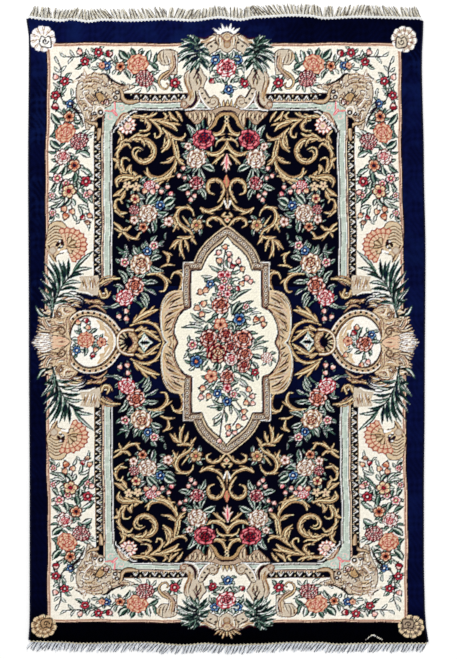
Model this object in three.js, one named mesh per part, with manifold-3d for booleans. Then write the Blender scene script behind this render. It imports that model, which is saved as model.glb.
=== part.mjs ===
// A hand-knotted pile rug, about 5 by 8 feet, lying flat.
// It is a thick pile body, an overcast selvedge down each side, and at each end a narrow
// woven band that carries a knotted warp fringe.
// Millimetres, +Z up. The origin is the middle of the whole rug's underside, and +Y runs to the head end.

import * as THREE from "three";
import { mergeVertices } from "three/addons/utils/BufferGeometryUtils.js";
import Module from "manifold-3d";

// Driving sizes
const rugWidth = 1524;
const pileLength = 2385;
const rugThickness = 10;
const jointGap = 0.3; // between pieces that meet
const endStep = 20; // spacing of the points along a head or foot edge
const sideStep = 60; // and along the straighter sides

const selvedge = { width: 7, height: 7.5, corner: 2 };
const band = { width: 11, height: 3 };
const strand = { perEnd: 148, rootWidth: 7, tipWidth: 2.8, rootHeight: 2.7, tipHeight: 1.6, sunk: 2 };
const stray = { lean: 1.3, length: 3.5, turn: 2.4 }; // how each strand differs from its neighbour

// The pile's rim in section: it stands straight up and then rounds over.
const rim = [
  { height: 0, inset: 0 },
  { height: 6.6, inset: 0 },
  { height: 8.6, inset: 0.8 },
  { height: 9.7, inset: 2.1 },
  { height: rugThickness, inset: 3.8 },
];

// How far each edge stands out from its straight line: a hand-made rug is never quite true.
// along is the place on that edge, and out is the distance outwards.
const leftEdge = [
  { along: -1192, out: 0 },
  { along: -1110, out: -5 },
  { along: -630, out: -5 },
  { along: 0, out: -2 },
  { along: 636, out: 1 },
  { along: 1115, out: -2 },
  { along: 1172, out: 0 },
  { along: 1192, out: 8 },
];
const rightEdge = [
  { along: -1192, out: 13 },
  { along: -1165, out: 6 },
  { along: -1090, out: -1 },
  { along: -880, out: -5 },
  { along: -630, out: -5 },
  { along: -265, out: -2 },
  { along: 310, out: 1 },
  { along: 636, out: -5 },
  { along: 1040, out: -13 },
  { along: 1192, out: -7 },
];
const headEdge = [
  { along: -768, out: 6 },
  { along: -701, out: -2 },
  { along: -633, out: -9 },
  { along: -600, out: -2 },
  { along: -532, out: -12 },
  { along: -476, out: -5 },
  { along: -363, out: -8 },
  { along: -229, out: -2 },
  { along: -138, out: -8 },
  { along: -26, out: 4 },
  { along: 51, out: -5 },
  { along: 112, out: 5 },
  { along: 254, out: 12 },
  { along: 315, out: 10 },
  { along: 373, out: 1 },
  { along: 507, out: 6 },
  { along: 732, out: 1 },
  { along: 755, out: -2 },
];
const footEdge = [
  { along: -757, out: -7 },
  { along: -644, out: -4 },
  { along: -555, out: 1 },
  { along: -318, out: -2 },
  { along: -166, out: 7 },
  { along: -84, out: 1 },
  { along: 5, out: 7 },
  { along: 112, out: 4 },
  { along: 254, out: -2 },
  { along: 365, out: -2 },
  { along: 423, out: 4 },
  { along: 534, out: 1 },
  { along: 777, out: 1 },
];

// How far the fringe tips stand out from the same straight lines.
const headTips = [
  { along: -768, out: 46 },
  { along: -100, out: 46 },
  { along: 0, out: 50 },
  { along: 60, out: 44 },
  { along: 135, out: 33 },
  { along: 200, out: 40 },
  { along: 280, out: 52 },
  { along: 768, out: 52 },
];
const footTips = [
  { along: -757, out: 36 },
  { along: -200, out: 38 },
  { along: 5, out: 40 },
  { along: 777, out: 37 },
];

// The strands lie over in drifts: a few slow waves of lean along the end.
const headLean = [
  { reach: 8, wave: 290, start: 0.4 },
  { reach: 4, wave: 127, start: 2.1 },
];
const footLean = [
  { reach: 7, wave: 340, start: 3.0 },
  { reach: 4, wave: 143, start: 0.9 },
];

const halfWidth = rugWidth / 2;
const halfLength = pileLength / 2;

// The table's value at a place, easing from row to row.
function easedOut(table, place) {
  const after = table.findIndex((row) => row.along > place);
  if (after === -1) return table[table.length - 1].out;
  if (after === 0) return table[0].out;
  const from = table[after - 1];
  const to = table[after];
  const share = THREE.MathUtils.smoothstep(place, from.along, to.along);
  return THREE.MathUtils.lerp(from.out, to.out, share);
}

const leftSide = (y) => -halfWidth - easedOut(leftEdge, y);
const rightSide = (y) => halfWidth + easedOut(rightEdge, y);

// Each end: its sign along Y, the pile's edge, the line of the tips, and the lean of a strand.
const ends = {
  head: { sign: 1, edge: headEdge, tips: headTips, lean: headLean },
  foot: { sign: -1, edge: footEdge, tips: footTips, lean: footLean },
};
const endLine = (end, x) => end.sign * (halfLength + easedOut(end.edge, x));
const tipLine = (end, x) => end.sign * (halfLength + easedOut(end.tips, x));

// Evenly spaced values from one number to another, both included.
function evenly(from, to, step) {
  const count = Math.max(1, Math.round(Math.abs(to - from) / step));
  return Array.from({ length: count + 1 }, (_, i) => from + ((to - from) * i) / count);
}

// Where the rug's two sides stand at an end, and where the pile starts inside the selvedges.
const pileInset = selvedge.width + jointGap;
const lowSide = (end) => leftSide(end.sign * halfLength);
const highSide = (end) => rightSide(end.sign * halfLength);
const pileStations = (end) => evenly(lowSide(end) + pileInset, highSide(end) - pileInset, endStep);
const sideStations = evenly(-halfLength + sideStep, halfLength - sideStep, sideStep);

// A closed skin over rings of points, which all run the same way round and have one size.
// lid is how the first and last ring are filled, as triangles of places on the ring.
function loft(rings, lid) {
  const size = rings[0].length;
  const last = (rings.length - 1) * size;
  const faces = [];
  for (let i = 1; i < rings.length; i++) {
    for (let j = 0; j < size; j++) {
      const a = (i - 1) * size + j;
      const b = (i - 1) * size + ((j + 1) % size);
      faces.push(a, b, b + size, a, b + size, a + size);
    }
  }
  for (const [a, b, c] of lid) {
    faces.push(a, c, b);
    faces.push(last + a, last + b, last + c);
  }
  const geometry = new THREE.BufferGeometry();
  geometry.setAttribute("position", new THREE.Float32BufferAttribute(rings.flat(2), 3));
  geometry.setIndex(faces);
  return geometry;
}

// A ring of few points, filled as a fan.
const fan = (size) => Array.from({ length: size - 2 }, (_, i) => [0, i + 1, i + 2]);

const wasm = await Module();
wasm.setup();

// A closed geometry as a solid that can be joined.
function solidOf(geometry) {
  const merged = mergeVertices(geometry);
  return new wasm.Manifold(
    new wasm.Mesh({
      numProp: 3,
      vertProperties: merged.attributes.position.array,
      triVerts: new Uint32Array(merged.index.array),
    }),
  );
}

// A joined solid as a geometry again.
function geometryOf(solid) {
  const mesh = solid.getMesh();
  const geometry = new THREE.BufferGeometry();
  geometry.setAttribute("position", new THREE.Float32BufferAttribute(mesh.vertProperties, 3));
  geometry.setIndex(Array.from(mesh.triVerts));
  return geometry;
}

const pileWool = new THREE.MeshStandardMaterial({ color: 0x0b1136, roughness: 0.85, metalness: 0 });
const edgeWool = new THREE.MeshStandardMaterial({ color: 0x070b26, roughness: 0.9, metalness: 0 });
const warpCotton = new THREE.MeshStandardMaterial({ color: 0xe9e3d2, roughness: 0.9, metalness: 0 });

// The pile's outline, anticlockwise from its left foot corner.
function pileOutline() {
  const endRow = (end) => pileStations(end).map((x) => [x, endLine(end, x)]);
  const rightRow = sideStations.map((y) => [rightSide(y) - pileInset, y]);
  const leftRow = sideStations.map((y) => [leftSide(y) + pileInset, y]);
  return [...endRow(ends.foot), ...rightRow, ...endRow(ends.head).reverse(), ...leftRow.reverse()];
}

// An outline drawn in by the same amount all round.
function drawnIn(outline, inset) {
  return outline.map(([x, y], i) => {
    const before = outline.at(i - 1);
    const after = outline[(i + 1) % outline.length];
    const along = new THREE.Vector2(after[0] - before[0], after[1] - before[1]).normalize();
    return [x - along.y * inset, y + along.x * inset];
  });
}

// The pile body: one flat slab with its uneven outline and its rounded rim.
function pileBody() {
  const outline = pileOutline();
  const rings = rim.map(({ height, inset }) => drawnIn(outline, inset).map(([x, y]) => [x, y, height]));
  const contour = outline.map(([x, y]) => new THREE.Vector2(x, y));
  return new THREE.Mesh(loft(rings, THREE.ShapeUtils.triangulateShape(contour, [])), pileWool);
}

// An overcast selvedge: a rounded bar that follows one side of the pile, sign is that side along X.
function selvedgeBar(sideLine, sign) {
  const { width, height, corner } = selvedge;
  const profile = [
    [width - corner, 0],
    [width, corner],
    [width, height - corner],
    [width - corner, height],
    [corner, height],
    [0, height - corner],
    [0, corner],
    [corner, 0],
  ];
  const places = [
    [endLine(ends.foot, sideLine(-halfLength)), -halfLength],
    ...sideStations.map((y) => [y, y]),
    [endLine(ends.head, sideLine(halfLength)), halfLength],
  ];
  const rings = places.map(([y, along]) => {
    const ring = profile.map(([inwards, z]) => [sideLine(along) - sign * inwards, y, z]);
    return sign > 0 ? ring : ring.reverse();
  });
  return new THREE.Mesh(loft(rings, fan(profile.length)), edgeWool);
}

// The woven band at one end, a flat strip that follows the pile's edge.
function bandGeometry(end) {
  const stations = [lowSide(end), ...pileStations(end), highSide(end)];
  const rings = stations.map((x) => {
    const inner = endLine(end, x) + end.sign * jointGap;
    const outer = inner + end.sign * band.width;
    const ring = [
      [x, inner, 0],
      [x, outer, 0],
      [x, outer, band.height],
      [x, inner, band.height],
    ];
    return end.sign > 0 ? ring : ring.reverse();
  });
  return loft(rings, fan(rings[0].length));
}

// One lock of warp ends: flat underneath, thinning and leaning over towards its tip.
function strandGeometry(end, x, number) {
  const drift = end.lean.reduce((sum, { reach, wave, start }) => {
    return sum + reach * Math.sin((2 * Math.PI * x) / wave + start);
  }, 0);
  const lean = drift + stray.lean * Math.sin(number * stray.turn);
  const root = endLine(end, x) + end.sign * (jointGap + band.width - strand.sunk);
  const tip = tipLine(end, x) - end.sign * stray.length * (1 + Math.cos(number * stray.turn));
  const rings = [0, 0.5, 1].map((share) => {
    const middle = x + lean * share * share;
    const y = THREE.MathUtils.lerp(root, tip, share);
    const half = THREE.MathUtils.lerp(strand.rootWidth, strand.tipWidth, share) / 2;
    const height = THREE.MathUtils.lerp(strand.rootHeight, strand.tipHeight, share);
    const ring = [
      [middle - half, y, 0],
      [middle, y, height],
      [middle + half, y, 0],
    ];
    return end.sign > 0 ? ring : ring.reverse();
  });
  return loft(rings, fan(rings[0].length));
}

// A whole end: the band with its strands joined on at their roots.
function fringe(end) {
  const pitch = (highSide(end) - lowSide(end)) / strand.perEnd;
  const strands = Array.from({ length: strand.perEnd }, (_, i) => {
    return strandGeometry(end, lowSide(end) + pitch * (i + 0.5), i);
  });
  const joined = wasm.Manifold.union([bandGeometry(end), ...strands].map(solidOf));
  return new THREE.Mesh(geometryOf(joined), warpCotton);
}

const rug = new THREE.Group();
const pieces = {
  pile_body: pileBody(),
  selvedge_left: selvedgeBar(leftSide, -1),
  selvedge_right: selvedgeBar(rightSide, 1),
  fringe_head: fringe(ends.head),
  fringe_foot: fringe(ends.foot),
};
for (const [name, mesh] of Object.entries(pieces)) {
  mesh.name = name;
  rug.add(mesh);
}

// The uneven edges leave the rug a little to one side, so it is moved until its box is centred.
const boxMiddle = new THREE.Box3().setFromObject(rug).getCenter(new THREE.Vector3());
rug.position.set(-boxMiddle.x, -boxMiddle.y, 0);

export default rug;
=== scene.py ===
from math import cos, hypot, pi, radians, sin

import bpy
import numpy as np
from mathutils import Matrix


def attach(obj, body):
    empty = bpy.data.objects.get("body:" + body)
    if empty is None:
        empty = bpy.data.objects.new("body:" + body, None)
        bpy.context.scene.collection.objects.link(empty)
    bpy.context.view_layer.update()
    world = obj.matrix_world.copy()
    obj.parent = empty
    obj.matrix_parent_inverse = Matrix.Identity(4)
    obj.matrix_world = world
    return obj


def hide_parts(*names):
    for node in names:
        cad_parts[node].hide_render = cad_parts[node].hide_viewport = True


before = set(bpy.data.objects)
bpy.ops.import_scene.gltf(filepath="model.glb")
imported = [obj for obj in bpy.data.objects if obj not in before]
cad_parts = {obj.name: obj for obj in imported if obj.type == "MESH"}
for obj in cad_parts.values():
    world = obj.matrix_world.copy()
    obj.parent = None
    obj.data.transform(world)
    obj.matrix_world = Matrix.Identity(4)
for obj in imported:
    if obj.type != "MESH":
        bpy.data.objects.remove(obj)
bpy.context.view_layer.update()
print("frame loaded")

# The dyed wools, as they look in daylight (red, green, blue out of 255)
wools = dict(
    navy=(5, 9, 44), night=(4, 4, 18), deep=(5, 8, 36), cream=(243, 237, 222), butter=(243, 238, 219),
    ivory=(248, 243, 232), tan=(166, 134, 100), gold=(188, 154, 108), sand=(214, 190, 156),
    straw=(230, 210, 168), brown=(94, 64, 48), bark=(38, 22, 24), mauve=(112, 82, 74),
    rosewood=(148, 106, 90), shellPink=(212, 178, 156), taupe=(182, 158, 136), fawn=(158, 138, 118),
    putty=(204, 190, 170), frame=(186, 198, 186), frameLight=(206, 214, 202), coral=(200, 118, 98),
    clay=(176, 98, 80), peach=(214, 162, 134), salmon=(216, 146, 134), apricot=(224, 190, 160),
    crimson=(146, 32, 48), cherry=(190, 74, 88), wine=(62, 12, 24), pink=(222, 128, 136),
    blush=(240, 202, 194), blue=(34, 66, 120), sky=(108, 146, 186), orange=(190, 112, 84),
    rust=(98, 40, 36), pine=(12, 32, 32), leaf=(46, 78, 66), sage=(128, 152, 138), mint=(196, 208, 194),
    white=(253, 252, 246), pearl=(238, 234, 238), line=(26, 26, 30), slate=(84, 98, 96),
)


def wool(name):
    return np.array(wools[name], np.float32) / 255


def given(text):
    # The words of a text, with numbers where they are numbers.
    return [word if word[0].isalpha() else float(word) for word in text.split()]


def table(text):
    # Rows parted by commas.
    return [given(row) for row in text.split(",")]


def rows(text):
    # The rows of a chart, each in its parts.
    return [row.split("|") for row in text.strip().splitlines()]


def paths(text):
    # Lines parted by slashes, each of places such as "99 291, 102 284".
    return [table(line) for line in text.split("/") if line.strip()]


class Sheet:
    # A painted part of the cartoon, with several dots to a square.
    def __init__(self, left, top, right, bottom, dotsPerSquare, ground):
        self.left, self.top, self.grain = left, top, dotsPerSquare
        rows, columns = int((bottom - top) * dotsPerSquare), int((right - left) * dotsPerSquare)
        self.dots = np.empty((rows, columns, 3), np.float32)
        self.dots[:] = wool(ground)

    # The dots from one corner to another, with the place of each in squares.
    def window(self, x0, y0, x1, y1):
        spans = []
        tall, wide = self.dots.shape[:2]
        for low, high, start, count in ((x0, x1, self.left, wide), (y0, y1, self.top, tall)):
            first = max(0, int((low - start) * self.grain))
            spans += [first, max(first, min(count, int((high - start) * self.grain) + 1))]
        c0, c1, r0, r1 = spans
        x = self.left + (np.arange(c0, c1, dtype=np.float32) + 0.5) / self.grain
        y = self.top + (np.arange(r0, r1, dtype=np.float32) + 0.5) / self.grain
        return self.dots[r0:r1, c0:c1], *np.meshgrid(x, y)

    # The dots round a place, with how far each is from it.
    def around(self, at, reach):
        dots, x, y = self.window(at[0] - reach, at[1] - reach, at[0] + reach, at[1] + reach)
        return dots, x - at[0], y - at[1]


def smoothLine(points, perSquare=1.6, closed=False):
    # A smooth curve through the given points.
    p = np.array(points, np.float32)
    p = np.vstack([p[-1:], p, p[:2]] if closed else [2 * p[:1] - p[1:2], p, 2 * p[-1:] - p[-2:-1]])
    out = []
    for a, b, c, d in zip(p[:-3], p[1:-2], p[2:-1], p[3:]):
        count = max(2, int(np.hypot(*(c - b)) * perSquare))
        t = (np.arange(count, dtype=np.float32) / count)[:, None]
        bend, twist = 2 * a - 5 * b + 4 * c - d, 3 * b - a - 3 * c + d
        out.append(0.5 * (2 * b + (c - a) * t + bend * t**2 + twist * t**3))
    return np.vstack(out if closed else out + [p[-2:-1]])


def headings(line):
    # Which way a line runs at each of its points.
    along = np.gradient(line, axis=0)
    return along / (np.hypot(along[:, 0], along[:, 1])[:, None] + 1e-6)


def spread(values, count):
    # Values along a line, evenly spread over its points.
    return np.interp(np.linspace(0, 1, count), np.linspace(0, 1, len(values)), values)


def pick(names, share):
    # A stepped choice among wools by a share from 0 to 1.
    choice = np.array([wool(name) for name in names.split()])
    return choice[np.clip((share * len(choice)).astype(int), 0, len(choice) - 1)]


def flecks(x, y, size=0.8):
    # An even scatter of values from 0 to 1, the same each time, about one for each knot.
    return (np.sin(np.floor(x / size) * 12.9898 + np.floor(y / size) * 78.233) * 43758.5453) % 1


def ribbon(sheet, points, widths, ramp, ribs=0, ribWool="tan", over=()):
    # A band of changing width along a smooth line, coloured across from its left side to its right.
    line = smoothLine(points)
    share = np.linspace(0, 1, len(line), dtype=np.float32)
    half = np.interp(share, np.linspace(0, 1, len(widths)), widths).astype(np.float32) / 2
    reach = half.max() + 0.5
    dots, x, y = sheet.window(*(line.min(0) - reach), *(line.max(0) + reach))
    along = headings(line)
    nearest = np.zeros(x.shape, int)
    best = np.full(x.shape, 1e9, np.float32)
    for i, (px, py) in enumerate(line):
        distance = (x - px) ** 2 + (y - py) ** 2
        closer = distance < best
        best[closer] = distance[closer]
        nearest[closer] = i
    best = np.sqrt(best)
    inside = best < half[nearest]
    side = (x - line[nearest, 0]) * along[nearest, 1] - (y - line[nearest, 1]) * along[nearest, 0]
    across = np.clip(0.5 - 0.5 * np.where(side > 0, best, -best) / np.maximum(half[nearest], 0.01), 0, 0.999)
    colour = pick(ramp, across)
    if ribs:
        rib = np.abs((share[nearest] * ribs + (across - 0.5) * 0.6) % 1 - 0.5) > 0.375
        colour[rib & (across > 0.12) & (across < 0.88)] = wool(ribWool)
    if over:
        inside &= np.min([np.abs(dots - wool(name)).max(2) for name in over], 0) < 0.02
    dots[inside] = colour[inside]


def area(sheet, points, fill, edge=None, edgeWidth=1.2, smooth=True):
    # A filled outline, with an edge line where one is named.
    line = smoothLine(points, 1.2, True) if smooth else np.array(points, np.float32)
    dots, x, y = sheet.window(*(line.min(0) - 1), *(line.max(0) + 1))
    inside = np.zeros(x.shape, bool)
    for (x1, y1), (x2, y2) in zip(line, np.roll(line, -1, 0)):
        if y1 != y2:
            inside ^= ((y1 > y) != (y2 > y)) & (x < (x2 - x1) * (y - y1) / (y2 - y1) + x1)
    dots[inside] = wool(fill)
    if edge and smooth:
        ribbon(sheet, smoothLine(points, 0.5, True).tolist() + [points[0]], [edgeWidth], edge)
    elif edge:
        for start, end in zip(points, points[1:] + points[:1]):
            bar(sheet, start, end, edgeWidth, edge)


def patch(sheet, points, fill, *edge):
    area(sheet, points, fill, *edge, smooth=False)


def bar(sheet, start, end, width, fill):
    # A straight band with square ends.
    (x1, y1), (x2, y2) = start, end
    nearest, furthest = (min(x1, x2) - width, min(y1, y2) - width), (max(x1, x2) + width, max(y1, y2) + width)
    dots, x, y = sheet.window(*nearest, *furthest)
    length = hypot(x2 - x1, y2 - y1)
    ux, uy = (x2 - x1) / length, (y2 - y1) / length
    along = (x - x1) * ux + (y - y1) * uy
    aside = (x - x1) * uy - (y - y1) * ux
    dots[(along >= 0) & (along <= length) & (np.abs(aside) <= width / 2)] = wool(fill)


def blossom(sheet, at, radius, petals, rings, depth=0.28, turn=0.0, squash=1.0, lean=0.0, vein=None):
    # An open flower: rings of wool from its heart to its rim, and a line between the petals.
    dots, dx, dy = sheet.around(at, radius * 1.1)
    if squash != 1:
        c, s = cos(lean), sin(lean)
        dx, dy = dx * c + dy * s, (dy * c - dx * s) / squash
    swell = np.abs(np.cos((np.arctan2(dy, dx) - turn) * petals / 2))
    share = np.hypot(dx, dy) / (radius * (1 - depth * (1 - swell**0.7)))
    colour = np.zeros(dots.shape, np.float32)
    rings = given(rings)
    for limit, name in zip(rings[-2::-2], rings[::-2]):
        colour[share <= limit] = wool(name)
    if vein:
        colour[(swell < 0.24) & (share > 0.3)] = wool(vein)
    dots[share < 1] = colour[share < 1]


def rose(sheet, at, radius, light, mid, dark, turn=0.0, whorls=3.3, first=3):
    # A full rose: whorls of scalloped petals, each with a dark line round it and a light lip.
    dots, dx, dy = sheet.around(at, radius * 1.1)
    angle = np.arctan2(dy, dx)
    edge = radius * (0.95 + 0.05 * np.cos(angle * 9 + turn) + 0.04 * np.cos(angle * 2 + turn))
    share = np.hypot(dx - 0.06 * radius, dy) / edge
    depth = share * whorls + 0.26 * share * np.sin(angle * 2 + turn * 2)
    whorl = np.floor(depth)
    part = depth - whorl
    turns = (angle / (2 * pi)) * (first + 2 * whorl) + whorl * 0.5 + turn
    off = np.abs(turns - np.floor(turns) - 0.5) * 2
    rim = np.hypot(dx, dy) / edge
    colour = np.empty(dots.shape, np.float32)
    colour[:] = wool(mid)
    colour[(part > 0.42) & (off < 0.62)] = wool(light)
    petalLine = (part > 1 - 0.62 * off**2 * 0.8) | (part < 0.13) | (off > 0.9)
    colour[petalLine | (share < 0.12) | (rim > 1 - 0.55 / radius)] = wool(dark)
    dots[rim < 1] = colour[rim < 1]


def leafShape(sheet, base, tip, width, bend, ramp, over=()):
    # One leaf from base to tip, bent sideways by a share of its length.
    (x1, y1), (x2, y2) = base, tip
    middle = ((x1 + x2) / 2 + bend * (y2 - y1), (y1 + y2) / 2 - bend * (x2 - x1))
    ribbon(sheet, [base, middle, tip], [0.6, width * 0.75, width, width * 0.8, 0.5], ramp, over=over)


def bud(sheet, at, radius, heart, lip, line="wine"):
    # A closed bud, with one paler petal.
    turn = at[0] * 1.7 + at[1]
    blossom(sheet, at, radius * 1.12, 3, "0.72 " + heart + " 1 " + line, 0.24, turn)
    half = radius * 0.5
    edge = [(at[0] + half * cos(turn + a), at[1] + half * sin(turn + a)) for a in (-1.2, 0, 1.2)]
    ribbon(sheet, edge, [radius * 0.3, radius * 0.55, radius * 0.3], lip)


def strokes(sheet, guide, wide, names, count, width=1.0, seed=0.0):
    # Fine strokes side by side along a guide, as on a carved leaf or shell.
    line = smoothLine(guide, 0.7)
    along = headings(line)
    right = np.stack([-along[:, 1], along[:, 0]], 1)
    share = np.linspace(0, 1, len(line))
    wide = spread(wide, len(line))
    names = names.split()
    for i in range(int(count)):
        chance = (np.sin((i + 1) * 12.9898 + seed * 7.3) * 43758.5453) % 1
        off = (i + 0.5) / count - 0.5
        bent = line + right * (wide * off + 0.5 * np.sin(share * 5 + chance * 6))[:, None]
        start, stop = int(len(line) * 0.3 * chance), int(len(line) * (1 - 0.3 * ((chance * 7) % 1)))
        if stop - start > 2:
            stroke = bent[start:stop:2].tolist() + [bent[stop - 1].tolist()]
            ribbon(sheet, stroke, [0.3, width, width, 0.3], names[int(i + seed) % len(names)])


def scroll(sheet, points, widths, side=1):
    # A smooth gold scroll, lit on one side, with a pointed leaf lifting off it here and there.
    widths = [w * 0.92 + 0.1 for w in widths]
    line = smoothLine(points)
    along = headings(line)
    wide = spread(widths, len(line))
    count = max(1, int(len(line) / 1.6 / 7))
    for i in range(count):
        k = int((i + 0.4) / count * (len(line) - 1))
        w, (px, py), (ax, ay) = wide[k], line[k], along[k]
        if w > 2.6:
            ox, oy = -ay * side, ax * side
            base = (px - ax * w * 1.2, py - ay * w * 1.2)
            bent = (px + ox * w * 0.66, py + oy * w * 0.66)
            tip = (px + ax * w * 1.2 + ox * w * 1.15, py + ay * w * 1.2 + oy * w * 1.15)
            leafWidths = [0.4, w * 0.55, w * 0.7, w * 0.5, 0.2]
            ribbon(sheet, [base, bent, tip], leafWidths, "bark gold straw tan bark")
    lit = "bark tan gold brown straw straw tan"
    ribbon(sheet, points, widths, lit if side > 0 else " ".join(lit.split()[::-1]))


def chain(sheet, points, pitch, radius, rings):
    # Small linked rings along a line.
    line = smoothLine(points, 4)
    for at in line[int(pitch * 2)::int(pitch * 4)]:
        blossom(sheet, at, radius, 2, rings, 0.1, 0.7)


def fanShell(sheet, at, radius, start, end, ribs, light, mid, dark, squash=1.0, scallop=0.1):
    # A shell: ribs that spread from its hinge, with a scalloped lip. Angles are in degrees.
    dots, dx, dy = sheet.around(at, radius * 1.2)
    dy = dy / squash
    angle = (np.arctan2(dy, dx) - radians(start)) % (2 * pi) / radians(end - start)
    rib = angle * ribs % 1
    share = np.hypot(dx, dy) / (radius * (1 - scallop * np.abs(np.cos(rib * pi))))
    colour = np.empty(dots.shape, np.float32)
    colour[:] = wool(mid)
    colour[(rib > 0.3) & (rib < 0.72)] = wool(light)
    colour[(rib > 0.9) | (rib < 0.08) | (share > 0.93)] = wool(dark)
    inside = (angle <= 1) & (share < 1)
    dots[inside] = colour[inside]


def volute(sheet, at, radius, start, turns, width, ramp, inner=0.25, side=1):
    # A spiral that winds in from the rim, starting at an angle in degrees.
    points = []
    steps = max(8, int(turns * 16))
    for share in [i / steps for i in range(steps + 1)]:
        reach = radius * (1 - share * (1 - inner))
        angle = radians(start) + side * share * turns * 2 * pi
        points.append((at[0] + reach * cos(angle), at[1] + reach * sin(angle)))
    ribbon(sheet, points, [width, width * 0.9, width * 0.7, width * 0.4], ramp)


def mottle(sheet, corners, ground, fleck, size, share, turned=False):
    # Some knots of one wool scattered over another.
    dots, x, y = sheet.window(*corners)
    scatter = flecks(y, x, size) if turned else flecks(x, y, size)
    dots[(np.abs(dots - wool(ground)).max(2) < 0.01) & (scatter < share)] = wool(fleck)


# How each tool of a chart takes its places and the parts after them
takers = {
    "path": lambda text: [table(text)], "spots": table, "list": lambda text: [given(text)],
    "names": lambda text: [text], "each": given,
}
tools = {
    "area": (area, "path each"), "patch": (patch, "path each"), "ribbon": (ribbon, "path list names"),
    "strokes": (strokes, "path list names each"), "scroll": (scroll, "path list each"),
    "leaf": (leafShape, "spots each names"), "bar": (bar, "spots each"),
    "fan": (fanShell, "spots each each each"),
    "blossom": (blossom, "spots each names each"), "volute": (volute, "spots each names each"),
    "chain": (chain, "path each names each"), "mottle": (mottle, "list each"),
}


def work(sheet, chart):
    # Works a chart row by row: a tool, the places it goes through, with a slash where it starts anew,
    # and after each bar what else it needs, such as widths, wools, or a size and a turn.
    for row in chart.strip().splitlines():
        tool, row = row.split(None, 1)
        if tool == "#":
            continue
        guides, *needs = row.split("|")
        function, kinds = tools[tool]
        for guide in guides.split("/"):
            taken = [takers[kind](part) for kind, part in zip(kinds.split(), [guide] + needs)]
            function(sheet, *sum(taken, []))


# The cartoon counts squares from its sheet's top left corner. The rug's middle is at column 227, row 342.
middleColumn, middleRow = 227, 342
sheetLeft, sheetTop = 20, 12


def fillInwards(sheet, column, row, name):
    # Fills everything from a column and a row to the middle.
    sheet.window(column, row, middleColumn + 1, middleRow + 1)[0][:] = wool(name)


def paintGround(sheet):
    # The bands, from the navy border inwards: column, row, wool
    bands = table("""
        45.6 42.6 bark, 46.8 43.8 shellPink, 48.2 45.2 rosewood, 48.9 45.9 shellPink, 49.8 46.8 cream,
        94.4 93.6 brown, 95.2 94.4 night, 102.4 100.8 shellPink, 103.8 102.2 bark, 104.6 103 ivory,
        105.6 104 frame, 109.8 107.2 frameLight, 110.6 107.9 bark, 111.5 108.9 ivory, 112.7 110.2 night""")
    for band in bands:
        fillInwards(sheet, *band)
    # The frame is greener in places, and the dark ground bluer beside the medallion and the side cartouche.
    work(sheet, """
    mottle 100 100 228 343 | frame frameLight 3.1 0.2 1
    patch 64 343, 64 306, 76 300, 78 293, 88 294, 97 297, 99 278, 114 278, 114 343 | deep
    """)
    fillInwards(sheet, 112.8, 286, "deep")


def paintGuard(sheet):
    # The cream arrowheads on the dark guard stripe, and a bead between each and the next.
    pitch = 9.4
    for i in range(8):
        guardUnit(sheet, (135.5 + i * pitch, 95), (1, 0), (0, 1))
    for i in range(15):
        guardUnit(sheet, (95.4, 137.8 + i * pitch), (0, 1), (1, 0))


def guardUnit(sheet, at, along, into):
    def place(a, b):
        return (at[0] + along[0] * a + into[0] * b, at[1] + along[1] * a + into[1] * b)
    lines = table("""
        0 0.8 -2.6 4.8 1.2 0.9 ivory, 0 0.8 2.6 4.8 1.2 0.9 ivory, 0 2.6 0 5 0.8 1.2 sand,
        -4.7 0.4 -4.7 1.8 1.4 0.7 sand""")
    for a, b, c, d, wide, narrow, name in lines:
        ribbon(sheet, [place(a, b), place(c, d)], [wide, narrow], name)
    blossom(sheet, place(4.7, 5.2), 0.8, 2, "1 sand", 0.1)


def paintCorner(sheet):
    # The widened corner of the pale frame, with its dark steps and pink shell.
    work(sheet, """
    patch 104 103, 134 103, 134 108, 129 111, 118 117, 112 128, 111 131, 104 131 | frame
    """)
    work(sheet, "mottle 104 103 134 131 | frame frameLight 1.7 0.3")
    work(sheet, """
    ribbon 112.4 132.5, 113 129, 117 125, 119 118.6, 126 114.6, 131 111, 135 110.4 | 1.2 | bark
    ribbon 114 132.5, 114.8 129.6, 118.4 126, 121 120.4, 127 116.4, 132 112.6, 136 111.8 | 1.3 | ivory
    strokes 115 127, 119 121, 123 116, 131 114 | 1 6 6 1 | shellPink putty sand rosewood | 6 1.3 2
    """)
    for i in range(4):
        px, py = 129.6 - i * 2.75, 119.3 + i * 2.55
        ribbon(sheet, [(px - 1.9, py - 1.9), (px + 1.9, py + 1.9)], [3.6], "white")
        ribbon(sheet, [(px - 1.5, py - 1.3), (px + 1.3, py + 1.7)], [2.1], "night")
    work(sheet, """
    fan 127 125.6 | 9.8 -80 165 8 | ivory blush coral | 1 0.2
    blossom 128 126.6 | 5.2 6 | 0.4 sand 0.75 blush 1 rosewood | 0.3
    # Pink ribs and curls on the pale frame
    ribbon 113.6 102, 114 106, 114.2 110 | 2 2.2 2 | pink blush
    ribbon 104 110.8, 108 111.2, 112 111.6 | 1.6 2.2 1.8 | shellPink pink
    ribbon 112 110.6, 114 113, 116.2 115.4 | 2.4 3 2 | pink blush pink
    volute 121 108.6 | 2.8 -140 0.8 1.2 | blush | 0.5
    volute 110 117.4 | 2.8 230 0.8 1.2 | blush | 0.5 -1
    """)


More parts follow.
